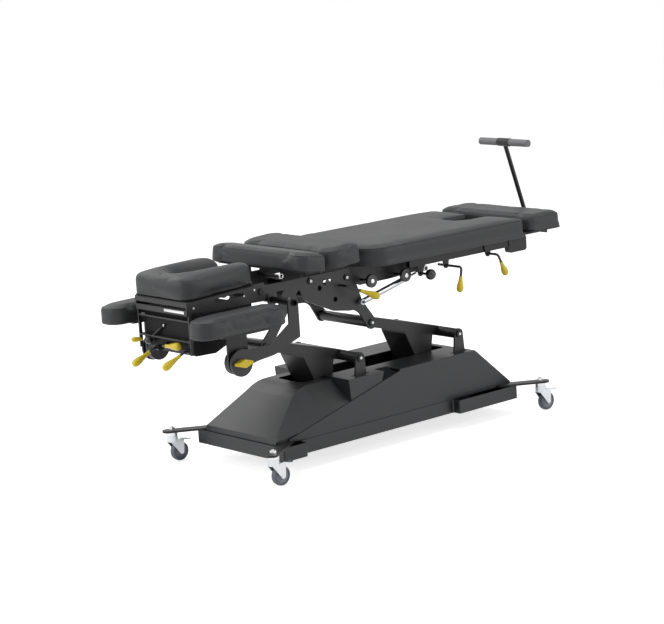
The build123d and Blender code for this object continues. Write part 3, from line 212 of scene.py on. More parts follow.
@dataclass(frozen=True)
class GripFinish:
    """Lever that is black up to the start of its grip and yellow from there on.

    Args:
        name: Name of the material.
        start: Start of the grip in millimetres.
        heading: Direction of the grip.
        overlap: Width in millimetres by which the yellow starts early.
    """

    name: str
    start: tuple[float, float, float]
    heading: tuple[float, float, float]
    overlap: float = 0.4

    def material(self) -> bpy.types.Material:
        """Build the lever material on object coordinates.

        Returns:
            The material.
        """
        made = replace(YELLOW, name=self.name).material()
        nodes, links = made.node_tree.nodes, made.node_tree.links
        shader = nodes["Principled BSDF"]
        old = shader.inputs["Base Color"].links[0].from_socket
        along = Vector(self.heading).normalized()
        place = nodes.new("ShaderNodeTexCoord").outputs["Object"]
        dot = nodes.new("ShaderNodeVectorMath")
        dot.operation = "DOT_PRODUCT"
        dot.inputs[1].default_value = along
        links.new(place, dot.inputs[0])
        edge = nodes.new("ShaderNodeMath")
        edge.operation = "GREATER_THAN"
        edge.inputs[1].default_value = (along.dot(Vector(self.start)) - self.overlap) * MM
        links.new(dot.outputs["Value"], edge.inputs[0])
        mix = nodes.new("ShaderNodeMix")
        mix.data_type = "RGBA"
        mix.inputs["A"].default_value = (*FRAME_BLACK.colour, 1.0)
        links.new(edge.outputs["Value"], mix.inputs["Factor"])
        links.new(old, mix.inputs["B"])
        links.new(mix.outputs["Result"], shader.inputs["Base Color"])
        return made


VINYL = Finish("black_vinyl", (0.034, 0.035, 0.037), 0.50, grain=Grain.VINYL, grain_size=0.0018,
               relief=0.00014, gloss=0.32, wave=0.0012)
SEAM_VINYL = Finish("seam_vinyl", (0.026, 0.026, 0.028), 0.48, grain=Grain.VINYL, gloss=0.4)
COVER = Finish("moulded_cover", (0.019, 0.020, 0.022), 0.40, grain=Grain.MOULDED, grain_size=0.0016,
               relief=0.00006, gloss=0.42)
FRAME_BLACK = Finish("black_powder_coat", (0.010, 0.010, 0.011), 0.42, grain=Grain.POWDER, gloss=0.35)
PLATE_BLACK = Finish("satin_plate_black", (0.017, 0.017, 0.019), 0.38, grain=Grain.POWDER, gloss=0.4)
ZINC = Finish("zinc_plate", (0.56, 0.58, 0.60), 0.28, 1.0, Grain.PLATED)
STEEL = Finish("bright_steel", (0.62, 0.62, 0.63), 0.24, 1.0, Grain.PLATED)
SILVER = Finish("silver_tube", (0.46, 0.47, 0.49), 0.28, 0.9, Grain.PLATED)
YELLOW = Finish("yellow_grip", (0.74, 0.55, 0.010), 0.36, grain=Grain.MOULDED, mottle=0.06, coat=0.1)
KNOB_BLACK = Finish("knob_plastic", (0.009, 0.009, 0.010), 0.28, grain=Grain.MOULDED, coat=0.15)
GREY_GRIP = Finish("grey_grip", (0.17, 0.17, 0.18), 0.6, grain=Grain.RUBBER)
TYRE = Finish("grey_tyre", (0.11, 0.12, 0.15), 0.55, grain=Grain.RUBBER)
HUB = Finish("hub_plastic", (0.24, 0.25, 0.30), 0.4, grain=Grain.MOULDED)
# Painted shade: a near-black, low-gloss black on the trays under the cushions, the cross tubes and the head
# housing, standing for the shade under the cushions and in the housing's open front.
PAINTED_SHADE_BLACK = Finish("painted_shade_black", (0.004, 0.004, 0.005), 0.55, grain=Grain.POWDER, gloss=0.15)

SLOT_FINISHES = {
    "base_paint": COVER,
    "frame_paint": FRAME_BLACK,
    "steel": STEEL,
    "spring_grey": SILVER,
    "vinyl": VINYL,
    "housing_plastic": KNOB_BLACK,
    "yellow_plastic": FRAME_BLACK,
    "stem_paint": FRAME_BLACK,
    "grip_rubber": GREY_GRIP,
    "zinc": ZINC,
    "wheel_rubber": TYRE,
    "pedal_steel": ZINC,
}

NODE_FINISHES = {
    "lower_pivot_pins": FRAME_BLACK,
    "upper_pivot_pins": FRAME_BLACK,
    "upper_side_plate_near": PLATE_BLACK,
    "upper_side_plate_far": PLATE_BLACK,
    "armrest_hanger_near": PLATE_BLACK,
    "armrest_hanger_far": PLATE_BLACK,
    "pivot_brackets": PLATE_BLACK,
    "front_lift_arm": PLATE_BLACK,
    "rear_lift_arm": PLATE_BLACK,
    "head_frame": PLATE_BLACK,
    "base_pan": COVER,
    # Painted shade: the housing, the trays and the cross tubes take the near-black so that they read as the
    # shade beneath the cushions.
    "head_housing": PAINTED_SHADE_BLACK,
    "bolster_tray": PAINTED_SHADE_BLACK,
    "face_tray": PAINTED_SHADE_BLACK,
    "upper_cross_tubes": PAINTED_SHADE_BLACK,
    "armrest_knob_near": YELLOW,
    "armrest_knob_far": YELLOW,
    "head_lever_near": GripFinish("near_lever", (-955.3, -126, 513), (-20, 0, -9)),
    "head_lever_middle": GripFinish("middle_lever", (-935.3, -20, 534), (0, -25, 2)),
    "head_lever_far": GripFinish("far_lever", (-955.3, 58, 506), (-20, 0, -9)),
    "leg_lever": GripFinish("leg_lever_paint", (312, -280, 614), (-6, 0, -36)),
    "foot_lever": GripFinish("foot_lever_paint", (537, -280, 636), (15, 0, -32)),
    "chest_lever": GripFinish("chest_lever_paint", (-155, -215, 628), (45, -25, -22)),
}


def new_piece(name: str, work: bmesh.types.BMesh, finish: Finish, smooth: bool = True) -> bpy.types.Object:
    """Turn a bmesh into a piece at the origin.

    Args:
        name: Name of the piece.
        work: The bmesh, which is freed.
        finish: Finish of the piece.
        smooth: Whether faces are shaded smooth.

    Returns:
        The new object.
    """
    bmesh.ops.recalc_face_normals(work, faces=work.faces)
    mesh = bpy.data.meshes.new(name)
    work.to_mesh(mesh)
    work.free()
    for face in mesh.polygons:
        face.use_smooth = smooth
    mesh.materials.append(finish.material())
    piece = bpy.data.objects.new(name, mesh)
    bpy.context.scene.collection.objects.link(piece)
    return piece


def metres(profile: tuple | list) -> list[tuple[float, float]]:
    """Turn a profile in millimetres into metres.

    Args:
        profile: Points along the axis and out from it.

    Returns:
        The same points in metres.
    """
    return [(along * MM, out * MM) for along, out in profile]


def lathe(profile: list[tuple[float, float]], origin: Vector, axis: Vector,
          steps: int = 40) -> bmesh.types.BMesh:
    """Spin a profile about an axis.

    Args:
        profile: Points as (distance along the axis, radius).
        origin: Start of the axis.
        axis: Direction of the axis.
        steps: Number of steps in a full turn.

    Returns:
        The turned shape.
    """
    work = bmesh.new()
    points = [work.verts.new((radius, 0.0, along)) for along, radius in profile]
    edges = [work.edges.new(pair) for pair in zip(points, points[1:])]
    bmesh.ops.spin(work, geom=points + edges, cent=(0, 0, 0), axis=(0, 0, 1), angle=math.tau, steps=steps,
                   use_merge=True)
    bmesh.ops.remove_doubles(work, verts=work.verts, dist=WELD)
    turn = axis.to_track_quat("Z", "Y").to_matrix().to_4x4()
    bmesh.ops.transform(work, matrix=Matrix.Translation(origin) @ turn, verts=work.verts)
    return work


def walk_loop(edges: set[bmesh.types.BMEdge]) -> list[Vector]:
    """Follow a closed chain of edges.

    Args:
        edges: Edges of the chain.

    Returns:
        The points of its longest loop in order.
    """
    left = set(edges)
    longest: list[Vector] = []
    while left:
        edge = left.pop()
        start, vert = edge.verts
        points = [start.co.copy(), vert.co.copy()]
        while True:
            following = next((near for near in vert.link_edges if near in left), None)
            if following is None:
                break
            left.remove(following)
            vert = following.other_vert(vert)
            points.append(vert.co.copy())
        if len(points) > len(longest):
            longest = points
    if (longest[0] - longest[-1]).length < WELD:
        longest.pop()
    return longest


def tube(path: list[Vector], radius: float, closed: bool = False, sides: int = 8) -> bmesh.types.BMesh:
    """Run a round bar along a path.

    Args:
        path: Points of the centre line.
        radius: Radius of the bar.
        closed: Whether the path is a ring.
        sides: Number of sides of the section.

    Returns:
        The bar.
    """
    work = bmesh.new()
    rings = []
    count = len(path)
    for index, point in enumerate(path):
        before = path[(index - 1) % count] if closed or index else point
        after = path[(index + 1) % count] if closed or index < count - 1 else point
        heading = (after - before).normalized()
        across = heading.cross(Vector((0, 0, 1)))
        if across.length < 1e-3:
            across = Vector((0, 1, 0))
        across.normalize()
        upward = across.cross(heading)
        turn = Matrix((across, upward, heading)).transposed().to_4x4()
        ring = bmesh.ops.create_circle(work, segments=sides, radius=radius,
                                       matrix=Matrix.Translation(point) @ turn, cap_ends=False)
        rings.append({edge for vert in ring["verts"] for edge in vert.link_edges})
    pairs = list(zip(rings, rings[1:])) + ([(rings[-1], rings[0])] if closed else [])
    for one, other in pairs:
        bmesh.ops.bridge_loops(work, edges=list(one | other))
    if not closed:
        for ring in (rings[0], rings[-1]):
            bmesh.ops.contextual_create(work, geom=list(ring))
    return work


def block(low: tuple, high: tuple, bevel: float = 0.8) -> bmesh.types.BMesh:
    """Make a box with broken edges.

    Args:
        low: Low corner in millimetres.
        high: High corner in millimetres.
        bevel: Width of the broken edges in millimetres.

    Returns:
        The box.
    """
    work = bmesh.new()
    bmesh.ops.create_cube(work, size=1.0)
    corner, far = Vector(low) * MM, Vector(high) * MM
    size = far - corner
    bmesh.ops.transform(work, matrix=Matrix.Translation((corner + far) / 2) @ Matrix.Diagonal((*size, 1.0)),
                        verts=work.verts)
    bmesh.ops.bevel(work, geom=work.edges[:] + work.verts[:], offset=bevel * MM, segments=2, profile=0.5,
                    affect="EDGES", material=-1)
    return work


def button(place: tuple, outward: int, radius: float, rise: float, socket: bool = True,
           steps: int = 24) -> bmesh.types.BMesh:
    """Turn a button head screw that looks along the cross axis.

    Args:
        place: Middle of its seat in millimetres.
        outward: Side that it faces, -1 for the near side.
        radius: Radius of its head in millimetres.
        rise: Height of its head in millimetres.
        socket: Whether it has a socket.
        steps: Number of steps in a full turn.

    Returns:
        The screw head.
    """
    shares = HEAD_CROWN + (HEAD_SOCKET if socket else HEAD_DOME)
    profile = [(HEAD_SEAT, 0.0), (HEAD_SEAT, radius)]
    profile += [(rise * along, radius * out) for along, out in shares]
    return lathe(metres(profile), Vector(place) * MM, Vector((0, outward, 0)), steps)


def ball(place: tuple, radius: float) -> bmesh.types.BMesh:
    """Make a ball.

    Args:
        place: Its middle in millimetres.
        radius: Its radius in millimetres.

    Returns:
        The ball.
    """
    work = bmesh.new()
    bmesh.ops.create_uvsphere(work, u_segments=28, v_segments=18, radius=radius * MM,
                              matrix=Matrix.Translation(Vector(place) * MM))
    return work


def fix(piece: bpy.types.Object, body: str) -> bpy.types.Object:
    """Let a piece ride on a body and log it.

    Args:
        piece: The piece.
        body: The body.

    Returns:
        The same piece.
    """
    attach(piece, body)
    log.info("piece %s on %s", piece.name, body)
    return piece


@dataclass
class Studio:
    """Floor, lamps, world and the camera of the photograph.

    Args:
        camera_place: Place of the camera.
        yaw: Heading of the camera.
        pitch: How far it looks down.
        roll: How far it is tipped.
        focal_pixels: Focal length in pixels of the photograph.
        frame_width: Width of the photograph in pixels.
        sensor: Width of the sensor in millimetres.
        sight: Farthest that the camera sees.
        floor_size: Side of the floor.
        floor_glow: Glow of the floor for rays that see it straight.
        world_glow: Glow of the world as a light.
        aim: Point that every lamp looks at.
        lamps: Name, place, size and power of each lamp.
    """

    camera_place: tuple[float, float, float] = (-5.4040, -6.1750, 2.0477)
    yaw: float = math.radians(49.44)
    pitch: float = math.radians(10.66)
    roll: float = math.radians(-3.61)
    focal_pixels: float = 2136.53
    frame_width: int = 664
    sensor: float = 36.0
    sight: float = 100.0
    floor_size: float = 60.0
    floor_glow: float = 0.72
    world_glow: float = 0.27
    aim: tuple[float, float, float] = (0.0, 0.0, 0.5)
    lamps: tuple = (
        ("left", (-5.0, 1.6, 2.8), 3.4, 125.0),
        ("right", (2.8, -5.2, 2.6), 3.6, 105.0),
        ("top", (0.0, -0.2, 4.8), 3.2, 80.0),
        ("back", (-0.4, 4.8, 4.2), 3.6, 80.0),
    )

    def camera(self) -> None:
        """Place the camera as solved from the photograph."""
        level = math.cos(self.pitch)
        forward = Vector((math.cos(self.yaw) * level, math.sin(self.yaw) * level, -math.sin(self.pitch)))
        right = forward.cross(Vector((0, 0, 1))).normalized()
        up = right.cross(forward)
        across = right * math.cos(self.roll) + up * math.sin(self.roll)
        upward = -right * math.sin(self.roll) + up * math.cos(self.roll)
        data = bpy.data.cameras.new("camera")
        data.sensor_width = self.sensor
        data.sensor_fit = "HORIZONTAL"
        data.lens = self.focal_pixels * self.sensor / self.frame_width
        data.clip_end = self.sight
        eye = bpy.data.objects.new("camera", data)
        turn = Matrix((across, upward, -forward)).transposed().to_4x4()
        eye.matrix_world = Matrix.Translation(Vector(self.camera_place)) @ turn
        bpy.context.scene.collection.objects.link(eye)
        bpy.context.scene.camera = eye

    def floor(self) -> None:
        """Lay a pale floor that reads as white away from the shadow."""
        work = bmesh.new()
        bmesh.ops.create_grid(work, x_segments=1, y_segments=1, size=self.floor_size / 2)
        ground = new_piece("floor", work, Finish("pale_floor", (0.8, 0.8, 0.8), 0.9), smooth=False)
        tree = ground.data.materials[0].node_tree
        shader = tree.nodes["Principled BSDF"]
        seen = self.seen(tree.nodes, tree.links)
        glow = tree.nodes.new("ShaderNodeMath")
        glow.operation = "MULTIPLY"
        glow.inputs[1].default_value = self.floor_glow
        shader.inputs["Emission Color"].default_value = (1, 1, 1, 1)
        tree.links.new(seen, glow.inputs[0])
        tree.links.new(glow.outputs["Value"], shader.inputs["Emission Strength"])

    def seen(self, nodes: bpy.types.Nodes, links: bpy.types.NodeLinks) -> bpy.types.NodeSocket:
        """Tell the rays that meet the backdrop straight, in metal or through glass.

        Args:
            nodes: Nodes of the material or world.
            links: Links of the material or world.

        Returns:
            The socket that is 1 for such a ray.
        """
        path = nodes.new("ShaderNodeLightPath")
        value = path.outputs["Is Camera Ray"]
        for name in ("Is Glossy Ray", "Is Transmission Ray"):
            both = nodes.new("ShaderNodeMath")
            both.operation = "MAXIMUM"
            links.new(value, both.inputs[0])
            links.new(path.outputs[name], both.inputs[1])
            value = both.outputs["Value"]
        return value

    def light(self) -> None:
        """Hang soft lamps and set the world."""
        for name, place, size, power in self.lamps:
            data = bpy.data.lights.new(name, "AREA")
            data.shape = "SQUARE"
            data.size = size
            data.energy = power
            lamp = bpy.data.objects.new(name, data)
            turn = (Vector(self.aim) - Vector(place)).to_track_quat("-Z", "Y").to_matrix().to_4x4()
            lamp.matrix_world = Matrix.Translation(Vector(place)) @ turn
            bpy.context.scene.collection.objects.link(lamp)
        world = bpy.data.worlds.new("world")
        world.use_nodes = True
        bpy.context.scene.world = world
        nodes, links = world.node_tree.nodes, world.node_tree.links
        background = nodes["Background"]
        background.inputs["Color"].default_value = (1, 1, 1, 1)
        spread = nodes.new("ShaderNodeMapRange")
        spread.inputs["To Min"].default_value = self.world_glow
        spread.inputs["To Max"].default_value = 1.0
        links.new(self.seen(nodes, links), spread.inputs["Value"])
        links.new(spread.outputs["Result"], background.inputs["Strength"])

    def build(self) -> None:
        """Set up the whole studio."""
        self.camera()
        self.floor()
        self.light()
        bpy.context.scene.view_settings.view_transform = "Standard"


@dataclass
class Cushion:
    """A padded cushion that stands for its CAD solid.

    Args:
        node: CAD node that it replaces.
        body: Body that it rides on.
        voxel: Voxel size of its skin.
        cap: Most that the skin may swell.
        inset: How far the start shape lies inside the CAD solid.
        seam_drop: Height of the seam below the top, or 0 for none.
        fill: Tightness of the filling. Not used.
        lean: Slope of the cushion along the table, in degrees.
        soften: Rounds of smoothing on the upper half, for a hollow with soft lips.
        bowl: Depth of the bowl round the hollow.
        bowl_width: Width of the bowl round the hollow.
        slot_head: Head end of the hollow.
        slot_half: Half the width of the hollow.
        foot_share: Share of the height below which nothing is rounded.
        proud: Most that the skin may stand out of the CAD box.
        seam_radius: Radius of the welt.
        pressure: Pressure of the filling on the cloth.
        moments: Frames that the cloth swells for.
        skirt: Height over the tray in which the swelling starts.
    """

    node: str
    body: str
    voxel: float = 0.006
    cap: float = 0.009
    inset: float = 0.005
    seam_drop: float = 0.013
    fill: float = 0.85
    lean: float = 0.0
    soften: int = 0
    bowl: float = 0.0
    bowl_width: float = 0.055
    slot_head: float = -0.850
    slot_half: float = 0.060
    foot_share: float = 0.35
    proud: float = 0.002
    seam_radius: float = 0.0011
    pressure: float = 4.0
    moments: int = 20
    skirt: float = 0.02

    def start_shape(self) -> bpy.types.Object:
        """Copy the CAD solid as a closed, even skin.

        Returns:
            The skin before it swells.
        """
        work = bmesh.new()
        work.from_mesh(frame["nodes"][self.node].data)
        bmesh.ops.remove_doubles(work, verts=work.verts, dist=1e-5)
        low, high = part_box(self.node)
        centre = (low + high) / 2
        half = (high - low) / 2
        for vert in work.verts:
            for axis in (0, 1):
                vert.co[axis] = centre[axis] + (vert.co[axis] - centre[axis]) * (1 - self.inset / half[axis])
            vert.co.z = low.z + (vert.co.z - low.z) * (1 - self.inset / (high.z - low.z))
        skin = new_piece(f"{self.node}_skin", work, VINYL)
        remesh = skin.modifiers.new("even", "REMESH")
        remesh.mode = "VOXEL"
        remesh.voxel_size = self.voxel
        bpy.context.view_layer.update()
        self._apply(skin)
        log.info("skin of %s has %d points", self.node, len(skin.data.vertices))
        return skin

    def _apply(self, skin: bpy.types.Object) -> None:
        """Apply every modifier of a piece.

        Args:
            skin: The piece.
        """
        graph = bpy.context.evaluated_depsgraph_get()
        mesh = bpy.data.meshes.new_from_object(skin.evaluated_get(graph))
        skin.modifiers.clear()
        old = skin.data
        skin.data = mesh
        bpy.data.meshes.remove(old)

    def relax(self, skin: bpy.types.Object) -> None:
        """Round the lips of the hollow on the upper half.

        Args:
            skin: The piece.
        """
        work = bmesh.new()
        work.from_mesh(skin.data)
        low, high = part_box(self.node)
        middle = low.z + (high.z - low.z) * self.foot_share
        upper = [vert for vert in work.verts if vert.co.z > middle]
        for vert in upper:
            ahead = min(0.0, vert.co.x - self.slot_head - self.slot_half)
            away = math.hypot(ahead, vert.co.y) - self.slot_half
            if away < self.bowl_width:
                share = (vert.co.z - middle) / (high.z - middle)
                vert.co.z -= self.bowl * share * (1 - max(0.0, away) / self.bowl_width) ** 2
        for _ in range(self.soften):
            bmesh.ops.smooth_vert(work, verts=upper, factor=0.5, use_axis_x=True, use_axis_y=True,
                                  use_axis_z=True)
        work.to_mesh(skin.data)
        work.free()

    def swell(self, skin: bpy.types.Object) -> None:
        """Blow the skin up with the cloth solver and cap what it moves.

        Args:
            skin: The piece.
        """
        rest = np.empty(len(skin.data.vertices) * 3)
        skin.data.vertices.foreach_get("co", rest)
        rest = rest.reshape(-1, 3)
        cloth = skin.modifiers.new("pad", "CLOTH")
        cloth.settings.use_pressure = True
        cloth.settings.uniform_pressure_force = self.pressure
        cloth.settings.effector_weights.gravity = 0.0
        cloth.point_cache.frame_start = 1
        cloth.point_cache.frame_end = self.moments
        for moment in range(1, self.moments + 1):
            bpy.context.scene.frame_set(moment)
        self._apply(skin)
        bpy.context.scene.frame_set(1)
        moved = np.empty(len(skin.data.vertices) * 3)
        skin.data.vertices.foreach_get("co", moved)
        shift = moved.reshape(-1, 3) - rest
        length = np.linalg.norm(shift, axis=1, keepdims=True) + 1e-9
        shift *= np.minimum(1.0, self.cap / length)
        low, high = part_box(self.node)
        lift = np.clip((rest[:, 2:3] - low.z) / self.skirt, 0.0, 1.0)
        final = rest + shift * lift
        floor = np.array(low) - np.array([self.proud, self.proud, 0.0])
        roof = np.array(high) + np.array([self.proud, self.proud, 2 * self.proud])
        final = np.clip(final, floor, roof)
        skin.data.vertices.foreach_set("co", final.ravel())
        skin.data.update()

    def seam(self, skin: bpy.types.Object) -> bpy.types.Object:
        """Lay a thin welt round the skin at the seam height.

        Args:
            skin: The finished skin.

        Returns:
            The welt.
        """
        work = bmesh.new()
        work.from_mesh(skin.data)
        slope = math.radians(self.lean)
        normal = Vector((-math.sin(slope), 0.0, math.cos(slope)))
        height = max(vert.co.dot(normal) for vert in work.verts) - self.seam_drop + self.seam_radius / 3
        cut = bmesh.ops.bisect_plane(work, geom=work.verts[:] + work.edges[:] + work.faces[:],
                                     plane_co=normal * height, plane_no=normal)
        keep = {e for e in cut["geom_cut"] if isinstance(e, bmesh.types.BMEdge)}
        log.info("seam of %s has %d edges", self.node, len(keep))
        path = walk_loop(keep)
        work.free()
        return new_piece(f"{self.node}_welt", tube(path, self.seam_radius, closed=True), SEAM_VINYL)

    def build(self) -> None:
        """Make the cushion and its welt."""
        skin = self.start_shape()
        if self.soften:
            self.relax(skin)
        self.swell(skin)
        for face in skin.data.polygons:
            face.use_smooth = True
        skin.data.materials.clear()
        skin.data.materials.append(VINYL.material())
        if self.seam_drop:
            welt = self.seam(skin)
            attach(welt, self.body)
        smooth = skin.modifiers.new("smooth", "SMOOTH")
        smooth.iterations = 3
        fine = skin.modifiers.new("fine", "SUBSURF")
        fine.levels = 1
        fine.render_levels = 1
        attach(skin, self.body)
        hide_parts(self.node)
        log.info("cushion %s", self.node)


@dataclass
class HeadSection:
    """Short far grip, scale, ball lever and screws of the head section, in millimetres."""

    side_grip: tuple = (-928, 138, 541)
    side_profile: tuple = ((-2, 0), (-2, 5), (0, 6), (10, 8.4), (22, 10), (32, 9), (38, 5.6), (40, 0))
    side_steps: int = 28
    side_heading: tuple = (-30, 12, 2)
    scale: tuple = ((-933, -140, 662), (-931, -20, 672))
    ball_place: tuple = (-925, 98, 542)
    ball_radius: float = 15.0
    rod_end: tuple = (-908, 20, 602)
    rod_radius: float = 5.0
    rod_sides: int = 16
    cap_profile: tuple = ((0, 0), (0, 7), (5, 7), (6, 5), (6, 0))
    scale_bevel: float = 0.4
    screws: tuple = ((-900, 680), (-668, 686), (-618, 700))
    cheek_face: float = -155.6
    screw_radius: float = 4.2
    screw_height: float = 2.0

    def far_grip(self) -> None:
        """Put the short yellow grip on the far side."""
        work = lathe(metres(self.side_profile), Vector(self.side_grip) * MM, Vector(self.side_heading),
                     self.side_steps)
        fix(new_piece("head_side_grip", work, YELLOW), "head_section")

    def small_parts(self) -> None:
        """Add the bright scale, the ball lever and the screws of the cheek plates."""
        low, high = self.scale
        fix(new_piece("head_scale", block(low, high, self.scale_bevel), STEEL), "head_section")
        end = new_piece("head_ball", ball(self.ball_place, self.ball_radius), KNOB_BLACK)
        fix(end, "head_section")
        rod = tube([Vector(self.ball_place) * MM, Vector(self.rod_end) * MM], self.rod_radius * MM,
                   sides=self.rod_sides)
        fix(new_piece("head_ball_rod", rod, FRAME_BLACK), "head_section")
        cap = lathe(metres(self.cap_profile), Vector(self.rod_end) * MM, Vector((0, -1, 0)))
        fix(new_piece("head_rod_cap", cap, ZINC), "head_section")
        for index, (x, z) in enumerate(self.screws):
            head = button((x, self.cheek_face, z), -1, self.screw_radius, self.screw_height)
            fix(new_piece(f"cheek_screw_{index}", head, ZINC), "head_section")

    def build(self) -> None:
        """Dress the head section."""
        self.far_grip()
        self.small_parts()


@dataclass
class UpperFrame:
    """Screw heads and slot stop on the side plates and the bright tube end, in millimetres."""

    pins: tuple = ((-345, 690), (-165, 675), (-588, 690), (-577, 480), (-49.5, 480))
    plate_face: float = 155.2
    screw_radius: float = 6.2
    screw_height: float = 2.4
    tube_end: tuple = (-486, -152, 731)
    ring_profile: tuple = ((-3, 6.5), (-3, 10), (3, 10), (4, 9), (4, 7), (3, 6.5), (-3, 6.5))
    slot_stop: tuple = (-265, -155, 672)
    stop_radius: float = 11.0
    stop_height: float = 3.0

    def build(self) -> None:
        """Add a bright screw in the middle of each pin head, the stop and the tube end."""
        for side, hand in ((-1, "near"), (1, "far")):
            for index, (x, z) in enumerate(self.pins):
                screw = button((x, side * self.plate_face, z), side, self.screw_radius, self.screw_height)
                fix(new_piece(f"frame_screw_{hand}_{index}", screw, ZINC), "upper_frame")
        stop = button(self.slot_stop, -1, self.stop_radius, self.stop_height)
        fix(new_piece("slot_stop", stop, KNOB_BLACK), "upper_frame")
        ring = lathe(metres(self.ring_profile), Vector(self.tube_end) * MM, Vector((0, -1, 0)))
        fix(new_piece("tube_end_ring", ring, STEEL), "upper_frame")


@dataclass
class LegSection:
    """Bright caps of the two tension knobs below the leg cushion, in millimetres."""

    discs: tuple = (("rear", (96, 646)), ("front", (-81, 652)))
    disc_face: float = -204.0
    cap_radius: float = 9.5
    cap_height: float = 3.2

    def build(self) -> None:
        """Cap the knobs."""
        for hand, (x, z) in self.discs:
            cap = button((x, self.disc_face, z), -1, self.cap_radius, self.cap_height, socket=False)
            fix(new_piece(f"disc_cap_{hand}", cap, STEEL), f"disc_{hand}")


@dataclass
class CastorWheel:
    """Tyre, hub and nut of one castor, in metres and in shares of the wheel's radius.

    Args:
        corner: Corner of the table.
        radius: Radius of the wheel.
        half_width: Half the width of the tyre.
        bore: Radius of the hub's bore.
        rim: Inner radius of the tyre.
        wall: Shares of the radius at the foot and the shoulder of the tyre's wall.
        crown: Share of the radius at the edge of the tread.
        tread_edge: Distance from the tyre's side to the edge of the tread.
        tread_steps: Steps across the tread.
        shoulder: Width of the tyre's shoulder.
        inset: How far the web starts inside the tyre's side.
        lip: Chamfer of the hub's boss.
        web_depth: Depth of the hub's hollow on each side.
        boss: Shares of the radius at the boss' edge, its chamfer and its foot.
        web: Shares of the radius at the hollow's outer edge and at its lip.
        steps: Segments of the turned pieces.
        nut_gap: Distance of the nut from the wheel.
        nut_size: Radius and height of the nut in millimetres.
    """

    corner: str
    radius: float = 37.5 * MM
    half_width: float = 13.0 * MM
    bore: float = 5.2 * MM
    rim: float = 0.7
    wall: tuple = (0.86, 0.93)
    crown: float = 0.955
    tread_edge: float = 2.6 * MM
    tread_steps: int = 8
    shoulder: float = 1.5 * MM
    inset: float = 1.2 * MM
    lip: float = 1.2 * MM
    web_depth: float = 7.5 * MM
    boss: tuple = (0.30, 0.34, 0.38)
    web: tuple = (0.58, 0.64)
    steps: int = 56
    nut_gap: float = 3.6 * MM
    nut_size: tuple = (7.0, 3.0)

    def tyre_profile(self, width: float) -> list[tuple[float, float]]:
        """Draw the tyre's closed section.

        Args:
            width: Width of the wheel.

        Returns:
            Points along the axis and out from it.
        """
        edge = width / 2 - self.half_width
        foot, shoulder = (share * self.radius for share in self.wall)
        tread = 2 * (self.half_width - self.tread_edge)
        near = [(edge, self.rim * self.radius), (edge, foot), (edge + self.shoulder, shoulder)]
        arc = []
        for step in range(self.tread_steps + 1):
            share = step / self.tread_steps
            bulge = (1.0 - self.crown) * math.sin(math.pi * share)
            arc.append((edge + self.tread_edge + tread * share, self.radius * (self.crown + bulge)))
        far = [(width - along, out) for along, out in reversed(near)]
        return near + arc + far + near[:1]

    def hub_profile(self, width: float) -> list[tuple[float, float]]:
        """Draw the hub's closed section.

        Args:
            width: Width of the wheel.

        Returns:
            Points along the axis and out from it.
        """
        inner = width / 2 - self.half_width + self.inset
        edge, chamfer, foot = (share * self.radius for share in self.boss)
        hollow, lip = (share * self.radius for share in self.web)
        near = [(0.0, self.bore), (0.0, edge), (self.lip, chamfer), (self.web_depth, foot),
                (self.web_depth, hollow), (inner, lip), (inner, self.rim * self.radius)]
        far = [(width - along, out) for along, out in reversed(near)]
        return near + far + near[:1]

    def build(self) -> None:
        """Turn the tyre and the hub and let them ride on the wheel."""
        node = f"castor_wheel_{self.corner}"
        low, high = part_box(node)
        centre = (low + high) / 2
        axis = Vector((0, 1, 0))
        width = high.y - low.y
        start = centre - axis * width / 2
        ring = new_piece(f"{node}_tyre", lathe(self.tyre_profile(width), start, axis, self.steps), TYRE)
        hub = new_piece(f"{node}_hub", lathe(self.hub_profile(width), start, axis, self.steps), HUB)
        for piece in (ring, hub):
            fix(piece, f"wheel_{self.corner}")
        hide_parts(node)
        outward = -1 if "near" in self.corner else 1
        face = low.y - self.nut_gap if outward < 0 else high.y + self.nut_gap
        nut = button((centre.x / MM, face / MM, centre.z / MM), outward, *self.nut_size, socket=False)
        fix(new_piece(f"{node}_nut", nut, ZINC), f"fork_{self.corner}")


@dataclass
class BaseUnit:
    """Screws of the pivot brackets, in millimetres, and the castors."""

    pivots: tuple = ((-151, 364), (376.5, 364))
    head_face: float = 191.4
    screw_radius: float = 6.0
    screw_height: float = 2.6
    corners: tuple = ("head_near", "head_far", "foot_near", "foot_far")

    def build(self) -> None:
        """Dress the base."""
        for side, hand in ((-1, "near"), (1, "far")):
            for index, (x, z) in enumerate(self.pivots):
                screw = button((x, side * self.head_face, z), side, self.screw_radius, self.screw_height)
                fix(new_piece(f"bracket_screw_{hand}_{index}", screw, ZINC), "base")
        for corner in self.corners:
            CastorWheel(corner).build()


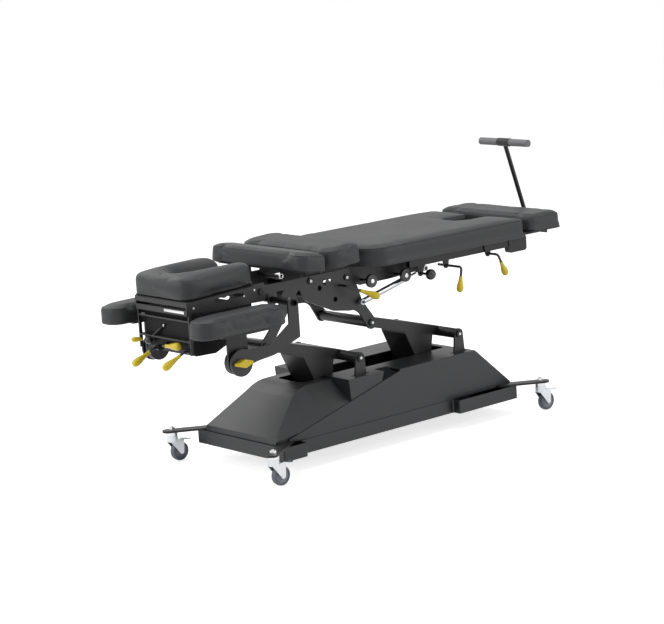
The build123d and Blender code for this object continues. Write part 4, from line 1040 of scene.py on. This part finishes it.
@dataclass
class WingKnob:
    """Yellow wing of an armrest knob.

    Args:
        hand: Near or far.
        side: Side of the table, -1 or 1.
        reach: Half the length of the wing.
        thick: Thickness at its middle, before it flares.
        depth: Depth of the wing along the knob's axis.
        stand_off: How far it stands out of the CAD knob.
        flare: Growth of the thickness at the middle.
        taper: Loss of thickness and depth at the tips.
        cuts: Cuts of the cube that the wing is shaped from.
    """

    hand: str
    side: int
    reach: float = 38 * MM
    thick: float = 15 * MM
    depth: float = 27 * MM
    stand_off: float = 1 * MM
    flare: float = 1.5
    taper: float = 0.25
    cuts: int = 3

    def build(self) -> None:
        """Shape the two wings in one piece."""
        node = f"armrest_knob_{self.hand}"
        low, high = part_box(node)
        centre = (low + high) / 2
        outer = low.y if self.side < 0 else high.y
        work = bmesh.new()
        bmesh.ops.create_cube(work, size=1.0)
        bmesh.ops.subdivide_edges(work, edges=work.edges[:], cuts=self.cuts, use_grid_fill=True)
        for vert in work.verts:
            span = abs(vert.co.x) * 2
            vert.co.z *= 1.0 + self.flare * (1 - span) ** 2 - self.taper * span
            vert.co.y *= 1.0 - self.taper * span
        middle = outer - self.side * (self.depth / 2 - self.stand_off)
        place = Matrix.Translation((centre.x, middle, centre.z))
        scale = Matrix.Diagonal((2 * self.reach, self.depth, self.thick, 1.0))
        bmesh.ops.transform(work, matrix=place @ scale, verts=work.verts)
        wing = new_piece(f"{node}_wing", work, YELLOW)
        fine = wing.modifiers.new("fine", "SUBSURF")
        fine.levels = 2
        fine.render_levels = 2
        fix(wing, f"knob_{self.hand}")


@dataclass
class Table:
    """The whole table, dressed part by part."""

    cushions: list[Cushion] = field(default_factory=lambda: [
        Cushion("face_cushion", "head_section", seam_drop=0.0, cap=0.012, lean=2.4, soften=12, bowl=0.016),
        Cushion("bolster_cushion", "upper_frame", lean=-7.4),
        Cushion("thoracic_cushion", "thoracic", lean=3.5),
        Cushion("leg_cushion", "leg_section", voxel=0.0075),
        Cushion("foot_cushion", "foot_section"),
        Cushion("armrest_pad_near", "armrest_near", cap=0.012),
        Cushion("armrest_pad_far", "armrest_far", cap=0.012),
    ])

    def paint(self) -> None:
        """Give every CAD node the finish of its slot."""
        for part in frame["record"]["subparts"]:
            finish = NODE_FINISHES.get(part["node"], SLOT_FINISHES[part["material_slot"]])
            mesh = frame["nodes"][part["node"]].data
            mesh.materials.clear()
            mesh.materials.append(finish.material())

    def build(self) -> None:
        """Dress the whole table."""
        self.paint()
        for cushion in self.cushions:
            cushion.build()
        HeadSection().build()
        UpperFrame().build()
        LegSection().build()
        BaseUnit().build()
        WingKnob("near", -1).build()
        WingKnob("far", 1).build()


def main() -> None:
    """Build the studio and the table."""
    logging.basicConfig(level=logging.INFO)
    Studio().build()
    Table().build()


if __name__ == "__main__":
    main()
